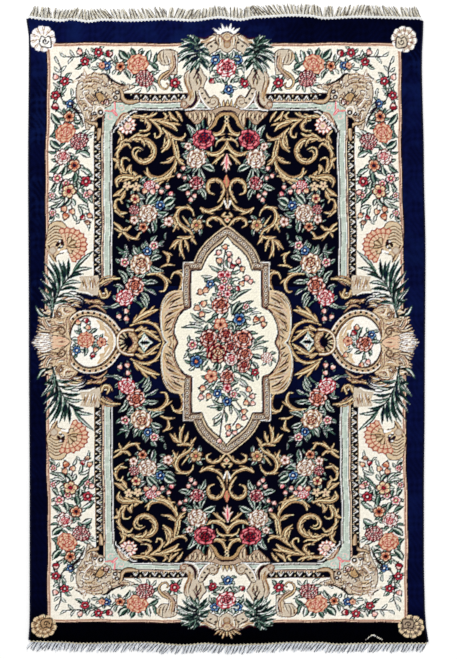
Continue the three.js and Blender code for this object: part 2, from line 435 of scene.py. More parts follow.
def paintCartouche(sheet):
    # The big mantled shell that sits across the corner.
    work(sheet, """
    area 75.5 94, 76.5 86, 79 80.5, 83 77, 88 75.6, 94 73.8, 100 74, 106 75, 110 78.6, 116 82, 124 85, \
      132 85.4, 134 87.6, 128 90, 123 92, 121 96.5, 116.5 101, 111 102.4, 110 105.6, 106 107.4, \
      103 110, 104.4 113.5, 101 117.4, 97 118.4, 95 121.5, 91 123, 91.4 128, 86.5 130.4, 84.6 124, \
      83.6 118, 80.6 112, 77 104 | putty brown 0.9
    """)
    ruffles = rows("""
        82 79, 91 76.5, 100 77.5, 109 83 | 3 6 6 2
        79 85, 88 81, 98 82, 108 88 | 3 7 7 3
        78 91, 85 87, 94 87, 102 90 | 3 6 6 3
        79 94, 81 101, 86 107, 91 111 | 4 7 7 3
        84 93, 87 99, 92 104, 97 107 | 3 6 6 3
        88 91, 91 96, 94 101, 97 105 | 2 4 4 2
        103 86, 109 88, 114 91, 117 95 | 3 6 6 3
        107 81, 115 85, 122 88, 130 87 | 2 4 4 1.5
        84 109, 87 115, 88 121, 88 127 | 3 6 5 3
        90 111, 93 116, 93 120, 91 122 | 2 5 4 2
        104 93, 107 97, 110 100, 111 102 | 3 6 5 2""")
    for seed, (guide, wide) in enumerate(ruffles, 1):
        guide = table(guide)
        shades = "tan putty sand rosewood ivory tan putty sand fawn brown"
        strokes(sheet, guide, given(wide), shades, 10, 1.0, seed)
        line = smoothLine(guide, 0.7)
        for k in range(4):
            x, y = line[int((k + 0.4) / 4 * len(line))]
            x, y, start = x + 1.6 * sin(seed * 5 + k * 2.3), y + 1.6 * cos(seed * 3 + k), seed * 97 + k * 71
            volute(sheet, (x + 0.7, y + 0.8), 2.9, start, 0.5, 1.3, "sand" if k % 3 else "ivory", 0.45)
            volute(sheet, (x, y), 3.0, start, 0.56, 0.9, "brown" if k % 2 else "mauve", 0.45)
    # Its scalloped rim on both sides of the corner, and the scroll feet over the guard stripes
    rim = rows("""
        99.4 75.4, 103 74.2, 107 76, 110 79, 114 81.6, 119 84.4, 124 86 | 1 2 2.4 2.2 1.8 1.5 0.6 | bark
        106.6 76.6, 109 81 | 1.6 1 | bark
        110 79, 110.8 81.6, 111.6 84.4 | 1.8 1.5 0.8 | bark
        118.4 87.6, 121 92, 122 98, 125 101.6, 130 102.4, 137 101.4 | 2 4 5.2 6 6 4 \
          | bark tan sand taupe tan bark""")
    for swap in (False, True):
        for points, widths, ramp in rim:
            points = [(y - 2.6, x + 2.6) if swap else (x, y) for x, y in table(points)]
            ribbon(sheet, points, given(widths), ramp)
    work(sheet, """
    patch 124 95.6, 133 95.6, 133 99, 128.6 99, 126 98 | night
    patch 97.4 121, 101 125.6, 101.6 129, 97.4 129 | night
    ribbon 84 79, 76.9 80.1, 71 83.6 / 85 78, 83.4 72.8, 83 70 / 84 78, 79.4 77.8, 76 80 \
      | 2.8 3.2 0.5 | taupe ivory ivory tan
    ribbon 75.4 79.4, 78.4 77.8, 81 74.4 | 1.6 1.4 1.2 | bark
    # The pod at the heart, with its dark crest
    blossom 99.4 98.2 | 5 2 | 0.5 gold 0.8 tan 1 gold | 0.16 0.8 0.82 0.9
    ribbon 95.2 93.6, 95.2 97, 97 100.4, 99 104 | 1.5 1.4 1.6 0.9 | bark
    ribbon 95.4 94, 99 92.8, 102.4 94.4, 105.2 97.6 | 1.4 1.3 1.4 0.9 | bark
    ribbon 94 91.6, 95.6 94 / 97.6 90.4, 98.4 93 / 101.4 92, 101.2 94.2 / 92.4 96, 95.4 97.4 | 1.5 1 \
      | bark
    blossom 102 103.4 | 2.5 4 | 0.5 peach 0.75 rosewood 1 bark | 0.2
    blossom 105.8 102.4 | 3.7 5 | 0.2 wine 0.45 blush 0.7 rosewood 1 wine | 0.3 0.3 1 0 wine
    blossom 106.4 104.2 | 0.9 2 | 1 white | 0.1
    blossom 99.4 111 | 4.8 2 | 0.7 putty 1 ivory | 0.08 0.5
    blossom 116.6 92.6 | 2.6 2 | 0.36 white 0.82 bark 1 brown | 0.08 0.5
    blossom 114.8 97.8 | 2.7 2 | 0.36 white 0.82 bark 1 brown | 0.08 0.5
    blossom 99.9 112.8 | 3 2 | 0.36 white 0.82 bark 1 brown | 0.08 0.5
    blossom 94 114.4 | 2.2 2 | 0.36 white 0.82 bark 1 brown | 0.08 0.5
    blossom 91.6 115 | 1.5 2 | 0.36 white 0.82 bark 1 brown | 0.08 0.5
    """)


# Plants of the cream border. Leaves go by kind: base, tip, width, and the bend of those that bend otherwise.
# Flowers have their kind, column, row, size, colouring and turn, and buds go by colour: column, row, size.
borderBed = dict(
    stems="""
        62 56.5, 75 57.5, 88 55.5, 97 59, 104 63 / 57.5 62, 60 72, 58.5 84, 61 98, 66 104 / 79 55,
        79.5 57.5 / 109 57, 113 62, 117 65 / 55 110, 60 113, 65 117 / 88 55, 85 59 / 60 76, 61.5 79 /
        57 88, 55.5 92 / 213 79, 218 76, 222 72 / 213.5 85, 213.5 82 / 66 203, 64.5 207 / 72 205, 73 209 /
        88 205, 90 213 / 83 212, 83 216""",
    leaves=dict(
        pale="""
            66 57 59 52.5 3.4, 74.5 57.5 70 50 3.4, 73 58 67 64 3.6 -0.1, 89 57.5 86 50 3.6,
            58 64 54.5 56 3.6, 59 72 53 67 3.6, 60.5 72 65 66 3.6, 60 88 52.5 83 3.4,
            71 97 70.5 88.5 3.6 -0.1, 66 81 70.5 73 3.2, 112 75 115.5 70 3.6, 139 55 142 49 4.4,
            152 76 160 70 3.4, 141 88 134 93 3.6, 125 84 120 80.5 2.4, 71 112 76 109 3.4, 88 138 95 133 4,
            89 150 90 147 3, 87 187 83 184 3, 64 198 51 200.5 4, 79 206 90 210.5 4.2, 55 216 49 221 4,
            73 215 76 222 4, 80 220 76 224.5 3, 86 220 89 231 3.6, 222 60 220 51 3.8, 225 88 219 90 2.8""",
        frost="""
            97 59 90 64 4.2 -0.15, 61 95 66 88.5 4.2, 98 68.5 89.5 68.5 4.4, 148 62 150 50 7,
            150 84 156 91 3.8, 62 112 56 108 4, 82 128 81 117 4, 80 153 91 158 8, 80 169 93 178 6.4,
            66 199 57 208 4.4, 72 199 76 206.5 4.4, 79 207 82 216 4.4, 217 62 210 74 4.4 -0.15,
            222 82 215 77 4.6 0.2""",
        dark="""
            82 65 74 69.5 4, 117 63 114.5 55 4, 128 60 119 50 9, 124 70 129.5 80 5, 177 80 182 76 3.4,
            177 84 182 92 4 -0.1, 61 125 51 113 7.6, 73 122 81 121 5.6 -0.2, 62 148 51 140 8.4,
            66 166 63 176 6.4, 77 181 79 191 5.4, 57 183 51 190 5, 72 198 66 206 5.6, 86 197 94 204 4.4,
            60 203 50 207 4, 226 59 222 54 3.6, 224 85 221 79 5""",
        leaf="""
            136 57 131 48 6, 149 63 158 70 6, 152 64 156 52 5 -0.1, 55 127 50 137 4 0.2,
            58 152 49 151.5 3.6, 60 165 50 172 5.4, 76 172 74 184 7, 62 181 60 190 4.6, 76 192 84 201 4.2,
            80 198 89 205 4.4""",
    ),
    flowers="""
        rose 137 64.5 11 peach 0.4, peony 144.5 78.5 9.6 crimson 0, rose 65.5 133 10.4 peach 1.5,
        peony 80 142 9.4 crimson 1, rose 63.5 157 8.4 whitePink 2.2, open 75 166 6.6 orange 0.3,
        open 119.5 66.8 5.4 orange 0.2, open 68.7 117 6.2 orange 0.9, open 98 53 4.9 red 0.3,
        open 84 62.3 4.9 red 0.9, open 64 81.3 4.9 red 0.6, open 55 95.3 4.9 red 0.1,
        open 86.6 182 5.6 red 0.2, open 58 178 5.8 rosy 0.4, open 66.8 183.5 4.6 rosy 0.8,
        open 69.7 191.5 7.6 amber 0.1, open 106 66 4.8 blue 0.4, open 69.5 104 4.6 blue 1,
        open 174.3 83 5.6 red 0, open 52.8 195 3.8 rosy 0, open 53.5 212.5 3.8 rosy 0.6,
        open 87.5 195.5 4.4 rosy 0.4, open 101 66 3.2 peach 0.4, open 215.3 60.2 5.2 blue 0.3""",
    buds=dict(
        blush="79.2 52.6 3.2, 54.6 77 3.2, 91 193 3.2",
        crimson="108.6 54 3.7, 54.8 106.4 3.8, 83 218 2.8, 211.3 81.3 3, 213.7 88 3.3",
        coral="73 212 3.2, 90 216 3",
        peach="65 209 3.2",
        orange="66.2 216.2 3.6",
        rosewood="87.5 223 2.6",
    ),
)

# Light, middle, dark and heart of each colouring, then the same of the deeper heart of each rose
flowerWools = dict(
    peach="apricot peach clay rust", crimson="blush crimson wine wine",
    whitePink="ivory blush rust rosewood", red="cherry crimson wine blush",
    orange="apricot orange rust wine", rosy="ivory pink wine straw", amber="straw peach rust crimson",
    blue="sky blue navy white", coral="blush coral wine wine", creamRose="ivory putty rosewood tan",
    deepRose="pink cherry wine wine", pinkCloud="white pink crimson crimson",
    blush="ivory blush rosewood crimson", snow="white putty rosewood rosewood",
    carnation="blush crimson wine wine", rosyPeony="white pink crimson white",
    amberStar="sand apricot wine wine", creamCoral="ivory sand rosewood coral",
    goldStar="sand gold brown coral", blueOrange="sky blue deep orange",
    creamHeart="shellPink crimson wine wine", dusty="blush clay wine wine",
    pinkStripe="white pink crimson wine", blushPeony="white blush rosewood crimson",
)
roseHearts = dict(
    peach="apricot salmon clay", whitePink="blush pink crimson", creamRose="ivory sand rosewood",
    pinkCloud="blush pink crimson", snow="ivory sand rosewood", coral="coral clay wine",
    creamCoral="apricot clay rust", creamHeart="apricot clay wine", deepRose="crimson wine line",
    dusty="clay crimson wine",
)
leafWools = dict(
    dark="pine mint leaf pine", pale="pine mint ivory pine", frost="pine sage ivory pine",
    leaf="pine sage leaf pine", edged="mint pine leaf mint", cold="sage leaf pine white",
    cool="pine slate sage pine",
)
budWools = dict(blush="blush salmon", coral="apricot coral", crimson="crimson blush", pink="pink blush")
grounds = ("cream", "butter", "night", "deep", "ivory", "navy")


def paintFlower(sheet, kind, column, row, size, colouring, turn):
    at = (column, row)
    light, mid, dark, heart = flowerWools[colouring].split()
    if kind == "rose":
        rose(sheet, at, size, light, mid, dark, turn, 2.6 + size * 0.07)
        inner = roseHearts.get(colouring, "pink crimson wine").split()
        rose(sheet, (column + 0.5, row - 0.8), size * 0.5, *inner, turn + 1, 2.2)
    elif kind == "peony":
        rose(sheet, at, size, light, mid, dark, turn, max(3.2, size * 0.52), 5)
    elif kind == "open":
        rings = f"0.22 {heart} 0.34 {dark} 0.6 {mid} 0.78 {light} 1 {dark}"
        blossom(sheet, at, size * 1.06, 5, rings, 0.3, turn, vein=dark)
    else:
        blossom(sheet, at, size, 5, f"0.2 {heart} 0.48 {mid} 1 {light}", 0.66, turn)


def paintPlants(sheet, bed, backing="dark frost leaf", lushness=1.0):
    for points in paths(bed.get("stems", "")):
        ribbon(sheet, points, [1.3], "line")
    for kind, leaves in bed["leaves"].items():
        for x0, y0, x1, y1, width, *bend in table(leaves):
            leafShape(sheet, (x0, y0), (x1, y1), width * lushness, bend[0] if bend else 0.1, leafWools[kind])
    flowers = table(bed["flowers"])
    buds = [(colour, *row) for colour, places in bed["buds"].items() for row in table(places)]
    # More leaves show from under each flower and bud.
    heads = [(x, y, size, 0 if kind == "star" else 4 if size < 6 else 6)
             for kind, x, y, size, _, _ in flowers]
    heads += [(x, y, size, 2) for _, x, y, size in buds]
    backing = backing.split()
    for x, y, size, count in heads:
        for i in range(count):
            chance = (np.sin(x * 3.1 + y * 1.7 + i * 5.3) * 43758.5453) % 1
            angle = x * 1.4 + y + (i + 0.6 * chance) * 2 * pi / count
            reach = size * 1.12 + (1.4 if count == 2 else 2.4 + 2 * chance) * lushness
            base = (x + 0.4 * size * cos(angle - 0.5), y + 0.4 * size * sin(angle - 0.5))
            tip = (x + reach * cos(angle), y + reach * sin(angle))
            wide = 2.2 if count == 2 else (3.2 + 0.14 * size) * lushness
            kind = backing[int(chance * 29) % len(backing)]
            leafShape(sheet, base, tip, wide, 0.12, leafWools[kind], grounds)
    for flower in flowers:
        paintFlower(sheet, *flower)
    for colour, x, y, size in buds:
        heart, lip = budWools.get(colour, colour + " apricot").split()
        bud(sheet, (x, y), size, heart, lip, "rust" if lip == "apricot" else "wine")


def paintConsoles(sheet):
    # The tan brackets that close the runs of the cream border.
    work(sheet, """
    area 157 58, 158.5 52, 163 49.5, 172 49.8, 177 53, 177.5 60, 177 66, 176.5 74.5, 171 74.5, 168 77, \
      165 80, 163 76, 169 70, 170 65, 162 64.5 | putty brown 0.9
    strokes 160 52, 159 58, 161 63 | 3 4 3 | tan sand brown | 4 1 1
    strokes 170 51, 172 60, 172 68, 168 75 | 12 11 8 4 | sand tan ivory brown putty rosewood sand \
      | 9 1 2
    ribbon 163 51, 163 58, 165 63 | 0.9 | brown
    ribbon 173 57, 174 66, 169 73, 163 78 | 3 3.4 3 2.4 | brown shellPink taupe tan
    ribbon 168 71, 161 76, 158.5 82, 161 87, 165.5 88.5, 168 85.5, 166.5 83 | 3 4 4 3 2.6 2.2 1.6 \
      | brown gold sand brown
    # The ribbed shell and the ruffled flower at the foot of the side run
    area 47.5 236, 49 226, 54 221.5, 62 221.5, 66.5 227, 66 236, 68 245, 66 252, 58 255, 57 261, \
      53.5 259, 50 252, 46.5 245 | sand brown 0.9
    """)
    for i in range(6):
        y = 225 + i * 3.2
        ribbon(sheet, [(48.6, y + 5), (56, y), (65.5, y + 4)], [1.2, 2.4, 1.2], "putty sand tan brown")
    work(sheet, """
    ribbon 49 246, 52 252, 57 261 | 3 4 2 | brown tan sand
    blossom 54 250 | 4.5 4 | 0.7 putty 1 taupe | 0.2
    fan 67 246 | 22.4 -114 72 11 | apricot peach clay | 0.86 0.08
    fan 67 246 | 15.6 -114 72 11 | apricot sand clay | 0.88 0.03
    fan 68 246 | 10.4 -96 84 4 | sand tan brown | 0.9 0.16
    ribbon 68 247, 74 249, 82 248 | 2 3 1 | brown gold apricot
    ribbon 58 245, 62 240.5, 63 246, 59.5 248 | 3 3.4 3 2 | bark wine bark
    blossom 60.5 241 / 62.5 246.5 / 60 249.5 | 1.2 2 | 1 white | 0.1
    ribbon 62 252, 67 251 | 2.2 2.8 | white
    # The fluted block beside the palm, and the scroll that leads on from it
    patch 80 277, 99 275.4, 100.6 284, 99.4 296, 93 294.6, 89 292, 79 291.6, 82 284 | putty
    strokes 88.6 277.4, 90 285, 91 293 | 16 15 14 | tan white brown sand rosewood ivory tan | 15 1.1 3
    strokes 99 291, 102 284, 109 279.6, 119 278 | 5 8 7 2 | brown tan sand rosewood tan brown | 6 1.5 4
    strokes 100 294, 104 296, 108 293, 107 288 | 4 5 4 2 | sand brown ivory tan | 4 1.4 6
    """)


def paintHeadPanel(sheet):
    # The shell crest, the acanthus posts and the volutes of the panel at the head's middle.
    work(sheet, """
    patch 200 84, 228 84, 228 111.6, 219 111, 210 109, 202 103, 199 94 | cream
    area 228 34, 221 35.4, 215 34.4, 209.6 36.4, 205 38.8, 196.4 38.8, 195.4 42.6, 198 45, 204 45.6, \
      206 51.6, 208.6 56.4, 210 53, 215 52, 220 49, 222.6 51.6, 226 53.4, 229 53.4 | putty brown 0.9
    strokes 197 42, 205 42, 211 39, 216 36.4 | 3 4 4 3 | tan sand ivory taupe | 6 1.2 2
    ribbon 199 38.4, 205 39, 209 36.8, 213 35.4, 216.4 36.6 | 1.4 1.8 1.8 1.2 1 | wine bark
    """)
    for i in range(6):
        x = 217 + i * 2.0
        rib = [(x, 36.6), (x - 1.2 + 0.2 * i, 43), (x + 0.4, 50)]
        strokes(sheet, rib, [1.6, 1.6, 1], "tan brown sand ivory", 2, 0.9, i)
    work(sheet, """
    ribbon 219 36.4, 222.4 38.2, 223.6 41, 228 42.8 | 1 1.4 1.2 1.2 | rosewood
    blossom 227 38 | 3.8 2 | 0.5 taupe 0.8 sand 1 tan | 0.1
    blossom 227 45.6 | 3.6 2 | 0.7 taupe 1 tan | 0.1
    area 206.6 45, 211 42, 215 41, 217.4 45, 217 50, 212 53, 208.6 55.4, 206.6 51 | putty brown 0.9
    ribbon 206 45.4, 209.6 43.4, 214 40.6 | 1 | bark
    blossom 211 46.6 | 1.2 2 | 1 bark | 0.1
    blossom 206.4 49 | 1.1 2 | 1 bark | 0.1
    blossom 215.6 43.4 | 1.3 2 | 1 bark | 0.1
    # The post, from the palm's foot down to the field
    area 196 66, 200.6 69, 204 75, 206.6 78.6, 204 84, 201.6 90, 197.4 91.6, 197.6 101, 193.6 107.6, \
      186 109.6, 181 107, 181 101, 186.6 98, 187.4 90, 184.6 82, 184.4 75, 190 70 | putty brown 1
    strokes 188 74, 187 82, 189 90, 189.6 100 | 6 7 5 5 | fawn sand putty rosewood brown | 8 1.1 3
    strokes 196 74, 198 80, 198 86, 195 90 | 6 8 6 3 | fawn putty sand brown | 7 1.1 6
    ribbon 185.4 79, 186.4 88, 189 96, 188.6 101 | 0.9 1.6 1.6 1 | tan
    ribbon 197 68, 197.6 75, 200.6 84 / 196.8 71, 195 76, 193 79 / 197.4 73, 199.4 76, 201 78.6 \
      / 197.6 76, 196.6 80, 196 83 | 1.5 1.2 0.7 | wine
    ribbon 194.8 92, 195.2 100, 191.4 106, 185 108.4 | 1.6 3 3.2 1.2 | bark wine
    ribbon 197.8 92, 198.4 101, 193.4 108.4, 185 110.6 | 1.4 1.8 1.8 1.4 | ivory white
    strokes 190 88, 190.8 96, 188 104 | 3 4.4 3 | gold tan sand brown | 5 1.1 5
    volute 183.6 104.6 | 4.4 20 1.2 2.2 | brown sand rosewood | 0.3
    # The spotted ear and its volute
    area 199 88, 204 90, 209 97.6, 213 96, 217.4 99.4, 218 104.4, 213.4 108.4, 207 107.8, 201 102, \
      198 94 | putty brown 1
    ribbon 198 91, 200 98, 205 105.4, 211 109.4, 219 107 | 1.2 1.6 1.6 1.4 1 | white
    ribbon 203.4 90, 206 95, 209 98.6 | 1 | line
    volute 212.6 102 | 5.2 20 1.35 1.2 | brown sand | 0.25 -1
    blossom 201.4 93.6 / 204.2 98.8 / 207.6 103 | 1.2 2 | 1 bark | 0.1
    # The crown of tan leaves that hangs from it into the field
    leaf 227 112, 227.4 99.6 / 224.6 112, 223 100.4 / 221 113, 219 103 | 3.4 0.05 \
      | brown straw gold brown
    leaf 217 114, 215 107 | 3.2 0.05 | brown straw gold brown
    area 184.6 113, 192 112, 196 110.4, 206 111, 213 110, 220 107.6, 228 107.6, 228 113, 220 114, \
      215 118, 213 125, 210.4 130, 208 124, 206.6 118, 203.6 119, 200 123, 196 124.4, 191 120 \
      | taupe brown 0.8
    """)
    for x, y, reach in table("189 113 6, 194 112 10, 199 112 9, 203 111 7, 208 112 14, 212 112 10"):
        leafShape(sheet, (x, y), (x + 1, y + reach), 4.8, 0.08, "bark sand putty sand brown")
    work(sheet, """
    ribbon 228 111.9, 221 112.2, 216.4 114.6 | 1.7 1.7 0.8 | bark
    ribbon 228 114.6, 222 114.8, 217 118.6, 214 125, 209 130 | 3.6 4 4 3.6 1.2 | gold tan gold brown
    """)


# The gold scrolls of the dark field: points, widths, and -1 where the light side is the other one
fieldScrolls = """
    scroll 131 117.5, 138 117, 146 117.5, 152 115.5, 156.5 112.5 | 2 4.4 4 3.4 1.2 | -1
    scroll 140.5 120, 146 121, 150 124, 149 129, 144.5 131, 140 130.8 | 1.6 3 3.6 3.4 2.2 1
    scroll 145 118, 148 122, 150 124 | 2 4 2
    scroll 149 119, 155.5 123.5, 160.5 129.5, 160.5 135, 156.5 136.8, 155.4 133 \
      | 1.4 2.6 3 2.8 2.4 1.6 | -1
    scroll 150 119, 157 119.5, 163.5 119, 165.5 115.5, 163 112.5 | 2 3 3.4 3 1.2
    scroll 160 121.5, 167 124, 172.5 126.5, 177.5 131 | 2 6 6.4 1.4 | -1
    scroll 169 112, 172 116.5, 178 121.5 | 2 3.8 1
    scroll 176 112, 179.5 115.5, 182.5 121.5 | 2 3.2 1
    scroll 163 128, 168.5 133.5, 170.5 140, 168.5 146.5, 162 151.8 | 1.5 4 6 5 1
    scroll 166 136, 165.5 141, 164 146 | 1.4 2.4 1
    scroll 169 132.5, 174 137.5, 180 139, 185 136.5, 185.5 133.6 | 1.4 4.2 3.6 3 1
    scroll 172.5 136, 174 146, 176 157, 175.5 164, 171 171, 164 176.5, 157 177.5, 150 174.5, \
      147.5 168 | 1.4 2.4 4 4 4 6.4 6.2 5 2 | -1
    scroll 176 141, 177.5 148, 178.5 157 | 1.2 2 3 | -1
    scroll 174 158, 169 162, 161 162.6 | 4 3.6 1
    scroll 177 158, 180 162.5, 185 165.5 | 4 3.8 1 | -1
    scroll 175 176, 165 179, 156 181.5 | 1 3.4 1.5
    scroll 127.5 141, 134 138.5, 142 138.8, 149.5 140.5, 154.5 146, 155.2 153, 151.5 159.5, \
      144.5 162.8, 137.5 160.5, 133.2 154.5, 134.5 149, 139 147.4, 143.5 149.5 \
      | 2 4 4 5 5.2 4.4 4.6 4.6 4 3.2 2.4 2 1
    scroll 138 158.5, 136.3 154.5, 138.5 151, 141 151.2 | 1.5 2 1.8 1 | -1
    scroll 130 140, 137 136, 145 136, 150.5 133 | 1.4 3.6 3.4 1 | -1
    scroll 141 138, 144.5 141.5, 145 146 | 2.4 3 1
    scroll 118.5 131.5, 122.5 136, 123 142, 121.5 148, 118.5 153, 118.5 159 | 1.5 3.6 5 4.4 3 2.4
    scroll 122 142, 127.5 139.5 | 3 2
    scroll 121 149.5, 124.5 146, 128.5 144.8, 131.5 148.5 | 2.4 3.2 2.8 1 | -1
    scroll 113 158.5, 118 160.5, 119.5 166, 123 171.5, 127 173 | 1.4 4.2 4 3 1.4
    scroll 130 161, 127 158.8, 123 159.5, 122.5 165, 124.5 171 | 1 2.4 3 3 2
    scroll 131.5 165.5, 130.5 169.5, 132 174 | 1 4.8 2
    scroll 134 172.5, 137 175, 138 180 | 2 4.4 2
    scroll 143 179.5, 141 176, 135 177.5, 128 176.5, 121 177, 116.5 181, 118.5 187.5 \
      | 1.6 3 4.4 5.6 5 3.6 1 | -1
    scroll 113.5 196.5, 118 193.5, 124 189 | 1 4.6 1.4
    scroll 126 191, 124.5 196, 121 200.5 | 1 4.6 2
    scroll 122.5 203.5, 120.5 200, 116.5 201.5, 116.4 208, 120 213, 127 213 | 1.4 2.4 2.8 4.4 4 1.2
    scroll 116 211, 121.5 216.5 | 3.4 1.2
    scroll 114 223, 119 226.5, 123.5 231.5, 129 236.5, 136 237.8, 139.5 233 | 1.6 3.6 4 3.4 3 2.4
    scroll 114.5 228.5, 119 231, 123 232 | 1.2 2.4 1.4
    scroll 121 230.5, 127 230.3, 130.5 227 | 2 3 2.6 | -1
    scroll 119 237.5, 120.5 234 | 1.4 2.6
    scroll 210 131, 216 134.8, 222 132, 225 126, 227 121 | 1 4.6 4 3 2
    scroll 216 147, 217.5 142.8, 222 140.5, 228 141 | 1 2.4 2.8 2.4 | -1
    scroll 206 151.5, 213 154.5, 220 152.5, 225 147, 227 142 | 1.2 4.6 5.2 4.6 3
    scroll 224 155, 219 158.5, 212.5 164.5 | 1.4 4 1 | -1
    scroll 214.5 195, 209 192.5, 207.6 186, 211 180.8, 217.5 179.8, 222.8 184, 224.3 191, 221.5 198, \
      217.5 203 | 1 3 3.4 4 3.4 3 2.8 3.2 1.2
    scroll 200.5 208, 207 211, 214 209.5, 220 206, 224 199 | 2.4 4.6 4 2.6 1.2
    scroll 193.5 216, 191.5 210.5, 186 207.8, 179.5 209.8, 176.8 216, 179.5 223.5, 186 228, 190.5 231, \
      193.5 237 | 1 2.6 3.4 4 4.4 4.6 4 3 2
    scroll 182 216, 186 221, 191 227 | 1 2.4 1.6
    scroll 164 221.5, 169 219, 174 222.5 | 1 3.6 4
    scroll 170 217, 174.5 221.5, 176.5 226 | 2.4 4.4 2
    scroll 177 225, 173.5 231.5 | 3.4 1
    scroll 211.5 227.5, 207 224.5, 208.5 219.5, 214 217.8, 220 220, 225 226 | 1 3 3 3.4 3 2
    scroll 225 213, 222 216.6, 228 217.8 | 2.2 2.6 2.4 | -1
    scroll 193 236, 186 237.5, 178 237 | 2 4 1.4 | -1
    scroll 182 240, 176.5 241.5, 170 248.5 | 2 5.6 0.8 | -1
    scroll 181.5 240, 181 249, 184 258.5 | 2 4.6 1
    scroll 185 239.5, 187.5 245, 188.5 251 | 2 3.4 1
    scroll 191 236, 193.5 240, 196.5 244.5 | 1.6 3.2 0.8
    scroll 163.5 251.5, 168 256, 167.5 263 | 1.6 4.2 1.6 | -1
    scroll 160.5 267, 166.5 264.5, 174.5 265 | 1 3 0.8
    scroll 148 274, 156 273.6, 163 277, 167 283.5, 165 290.5, 160.5 291 | 1.6 3 4 4.4 3 1 | -1
    scroll 171.5 278.5, 174.5 273, 181 274, 183 281, 179.5 290.5 | 1 3 4.6 4 1 | -1
    scroll 131 325.5, 138 322.5, 147 321.6, 155 325, 160.5 332.5, 164 342.5 | 1.4 3 3 3 3 2 | -1
    scroll 134.5 322, 142 316.5, 150 312.5, 158.5 309.5 | 3 6.6 6.6 1.2 | -1
    scroll 141 329.5, 147.5 331.5, 154 336, 161 341 | 3 5.4 4 1.2 | -1
    scroll 136 330, 141.5 326.5 | 2 4
    scroll 137 337, 142 332.5 | 2 4
    scroll 101 284, 109 280, 120 279 | 2.4 3.4 1.6 | -1
    scroll 100.5 291, 104 297, 108 295.5, 106.5 289.5 | 2.4 4 4 2
    scroll 86 300, 93 301.5, 100 301, 104 306 | 2 3.4 3 2
"""

# Plants of the dark field
fieldBed = dict(
    stems="""
        192 169.5, 186 173.5, 181 175 / 190 190, 189 194 / 166 193, 164.5 198 / 124 306, 125 315 /
        151 255, 154 249 / 196 190, 194 195""",
    leaves=dict(
        edged="""
            198 133 187.5 125 5.4, 200 130 198.5 121 4.6, 203 166 215 171.5 7.4, 200 168 206 181 5.6 -0.1,
            191 184 178.5 189 6.2, 200 188 205 199 5, 146.5 205 157.5 193.5 7.4, 163 206 175 199 9.4,
            142 256 134 245.5 4.6, 151 260 161.5 256 6.2, 150 265 163.5 271 5.2 -0.12,
            128 282 119 271 5.2 -0.1, 135 278 148 272 5.4, 145 283 158 282 5.4, 143 292 150 302 5,
            142 297 148 307.5 4.6, 121 303 111 307.5 4.4, 150 182 158 177.5 3.4""",
        leaf="""
            204.5 129 204 117.5 4.4, 192 169 185 173 2.6, 143 254 139 246 4.4, 127 252 117 247 2.8,
            137 301 144 307.5 4""",
        cold="""
            192 137 189 126 4 -0.1, 190 152 182 155.5 3.4, 187 144 180.5 143.5 2.6, 190 188 186 184 3,
            152 204 158 197.5 2.6 -0.1, 164 209 174.5 204.5 2.4 -0.15, 156 212 168 213 5.8 -0.12,
            158 217 166 214 2.2 -0.1, 152 221 154.5 232 5.8, 145.5 198 138.5 192 2.8,
            143 207 139.5 203 2.6, 137 256 133 250 3.4, 133 258 129 254 2.6, 129 252 120 253 3,
            129 252 126 245 2.8, 152 243 157 235.5 4, 149 246 145.5 240 3, 155 249 159 252 2.6,
            160 243 164.5 241 2.2, 165.5 239 166 233 2.2, 133 276 128 270 3.4, 148 289 157 294 3.6,
            124 288 115 286 3.4 -0.1, 111 307 103.5 307 3, 141 182 147 176.5 3.4""",
    ),
    flowers="""
        rose 204 139.4 11.4 deepRose 0.6, rose 196.6 158.6 10.2 snow 1.2, rose 197 183 7.6 carnation 0.5,
        rose 147.5 213 9.6 creamRose 0, open 160 204.7 5.2 blue 0.2, open 135.6 199 5.4 amber 0.4,
        open 143.2 226.6 5.2 orange 0.2, peony 134 210 5.4 crimson 0.6, star 128 186 4.8 amberStar 0.3,
        star 137 187 4.8 amberStar 0.9, rose 141 263.6 10.8 creamCoral 1.1, open 125.2 262.6 5.4 rosy 0.1,
        open 147.8 250.5 5 blue 0.8, open 154.3 245 5.2 rosy 0.5, rose 135.5 286 10.2 coral 2,
        rose 126 298 8.8 pinkCloud 0.3, open 188.4 146.4 4 blush 0.4, peony 151 186 6.6 rosyPeony 0.2,
        open 196.5 225 6.8 goldStar 0.4, open 134 220 4.6 blush 0.2, open 168.5 221.4 5.2 blush 0""",
    buds=dict(
        blush="""
            184 168.4 2.5, 179.8 175.8 2.6, 185.6 178 2.4, 188.3 193.4 2.7, 190.8 199.8 2.6,
            194.6 196 2.5, 168.2 187 2.6, 162 191.3 2.8, 127.3 311.2 2.9, 119.8 316.8 2.9, 127 318.8 2.9,
            153.5 191 3.4, 158 186 3""",
        pink="171.2 193.7 2.8",
        coral="145.5 190.5 3.2",
    ),
)


def paintAxis(sheet):
    # The small flowers that hang down the middle line of the field.
    work(sheet, """
    blossom 227 118 / 227 122 | 2.2 4 | 0.5 night 1 sand | 0.2
    leaf 227 155, 221.6 166 / 227 155, 223.4 171 | 4 0.12 | brown ivory blush rosewood
    ribbon 227 155, 226.6 163, 227 173 | 1.2 3.8 3 0.6 | wine pink blush
    ribbon 227 176, 227 183, 227 189 | 1 6.4 1 | sand gold coral
    ribbon 227 189, 227 200, 227 210 | 1 2 4.4 | taupe sand brown
    ribbon 224 202, 226 208 | 2.4 1.2 | ivory
    blossom 227 212 | 2.4 4 | 1 night | 0.1
    blossom 227 220.5 | 3 4 | 0.4 coral 1 sand | 0.4
    """)


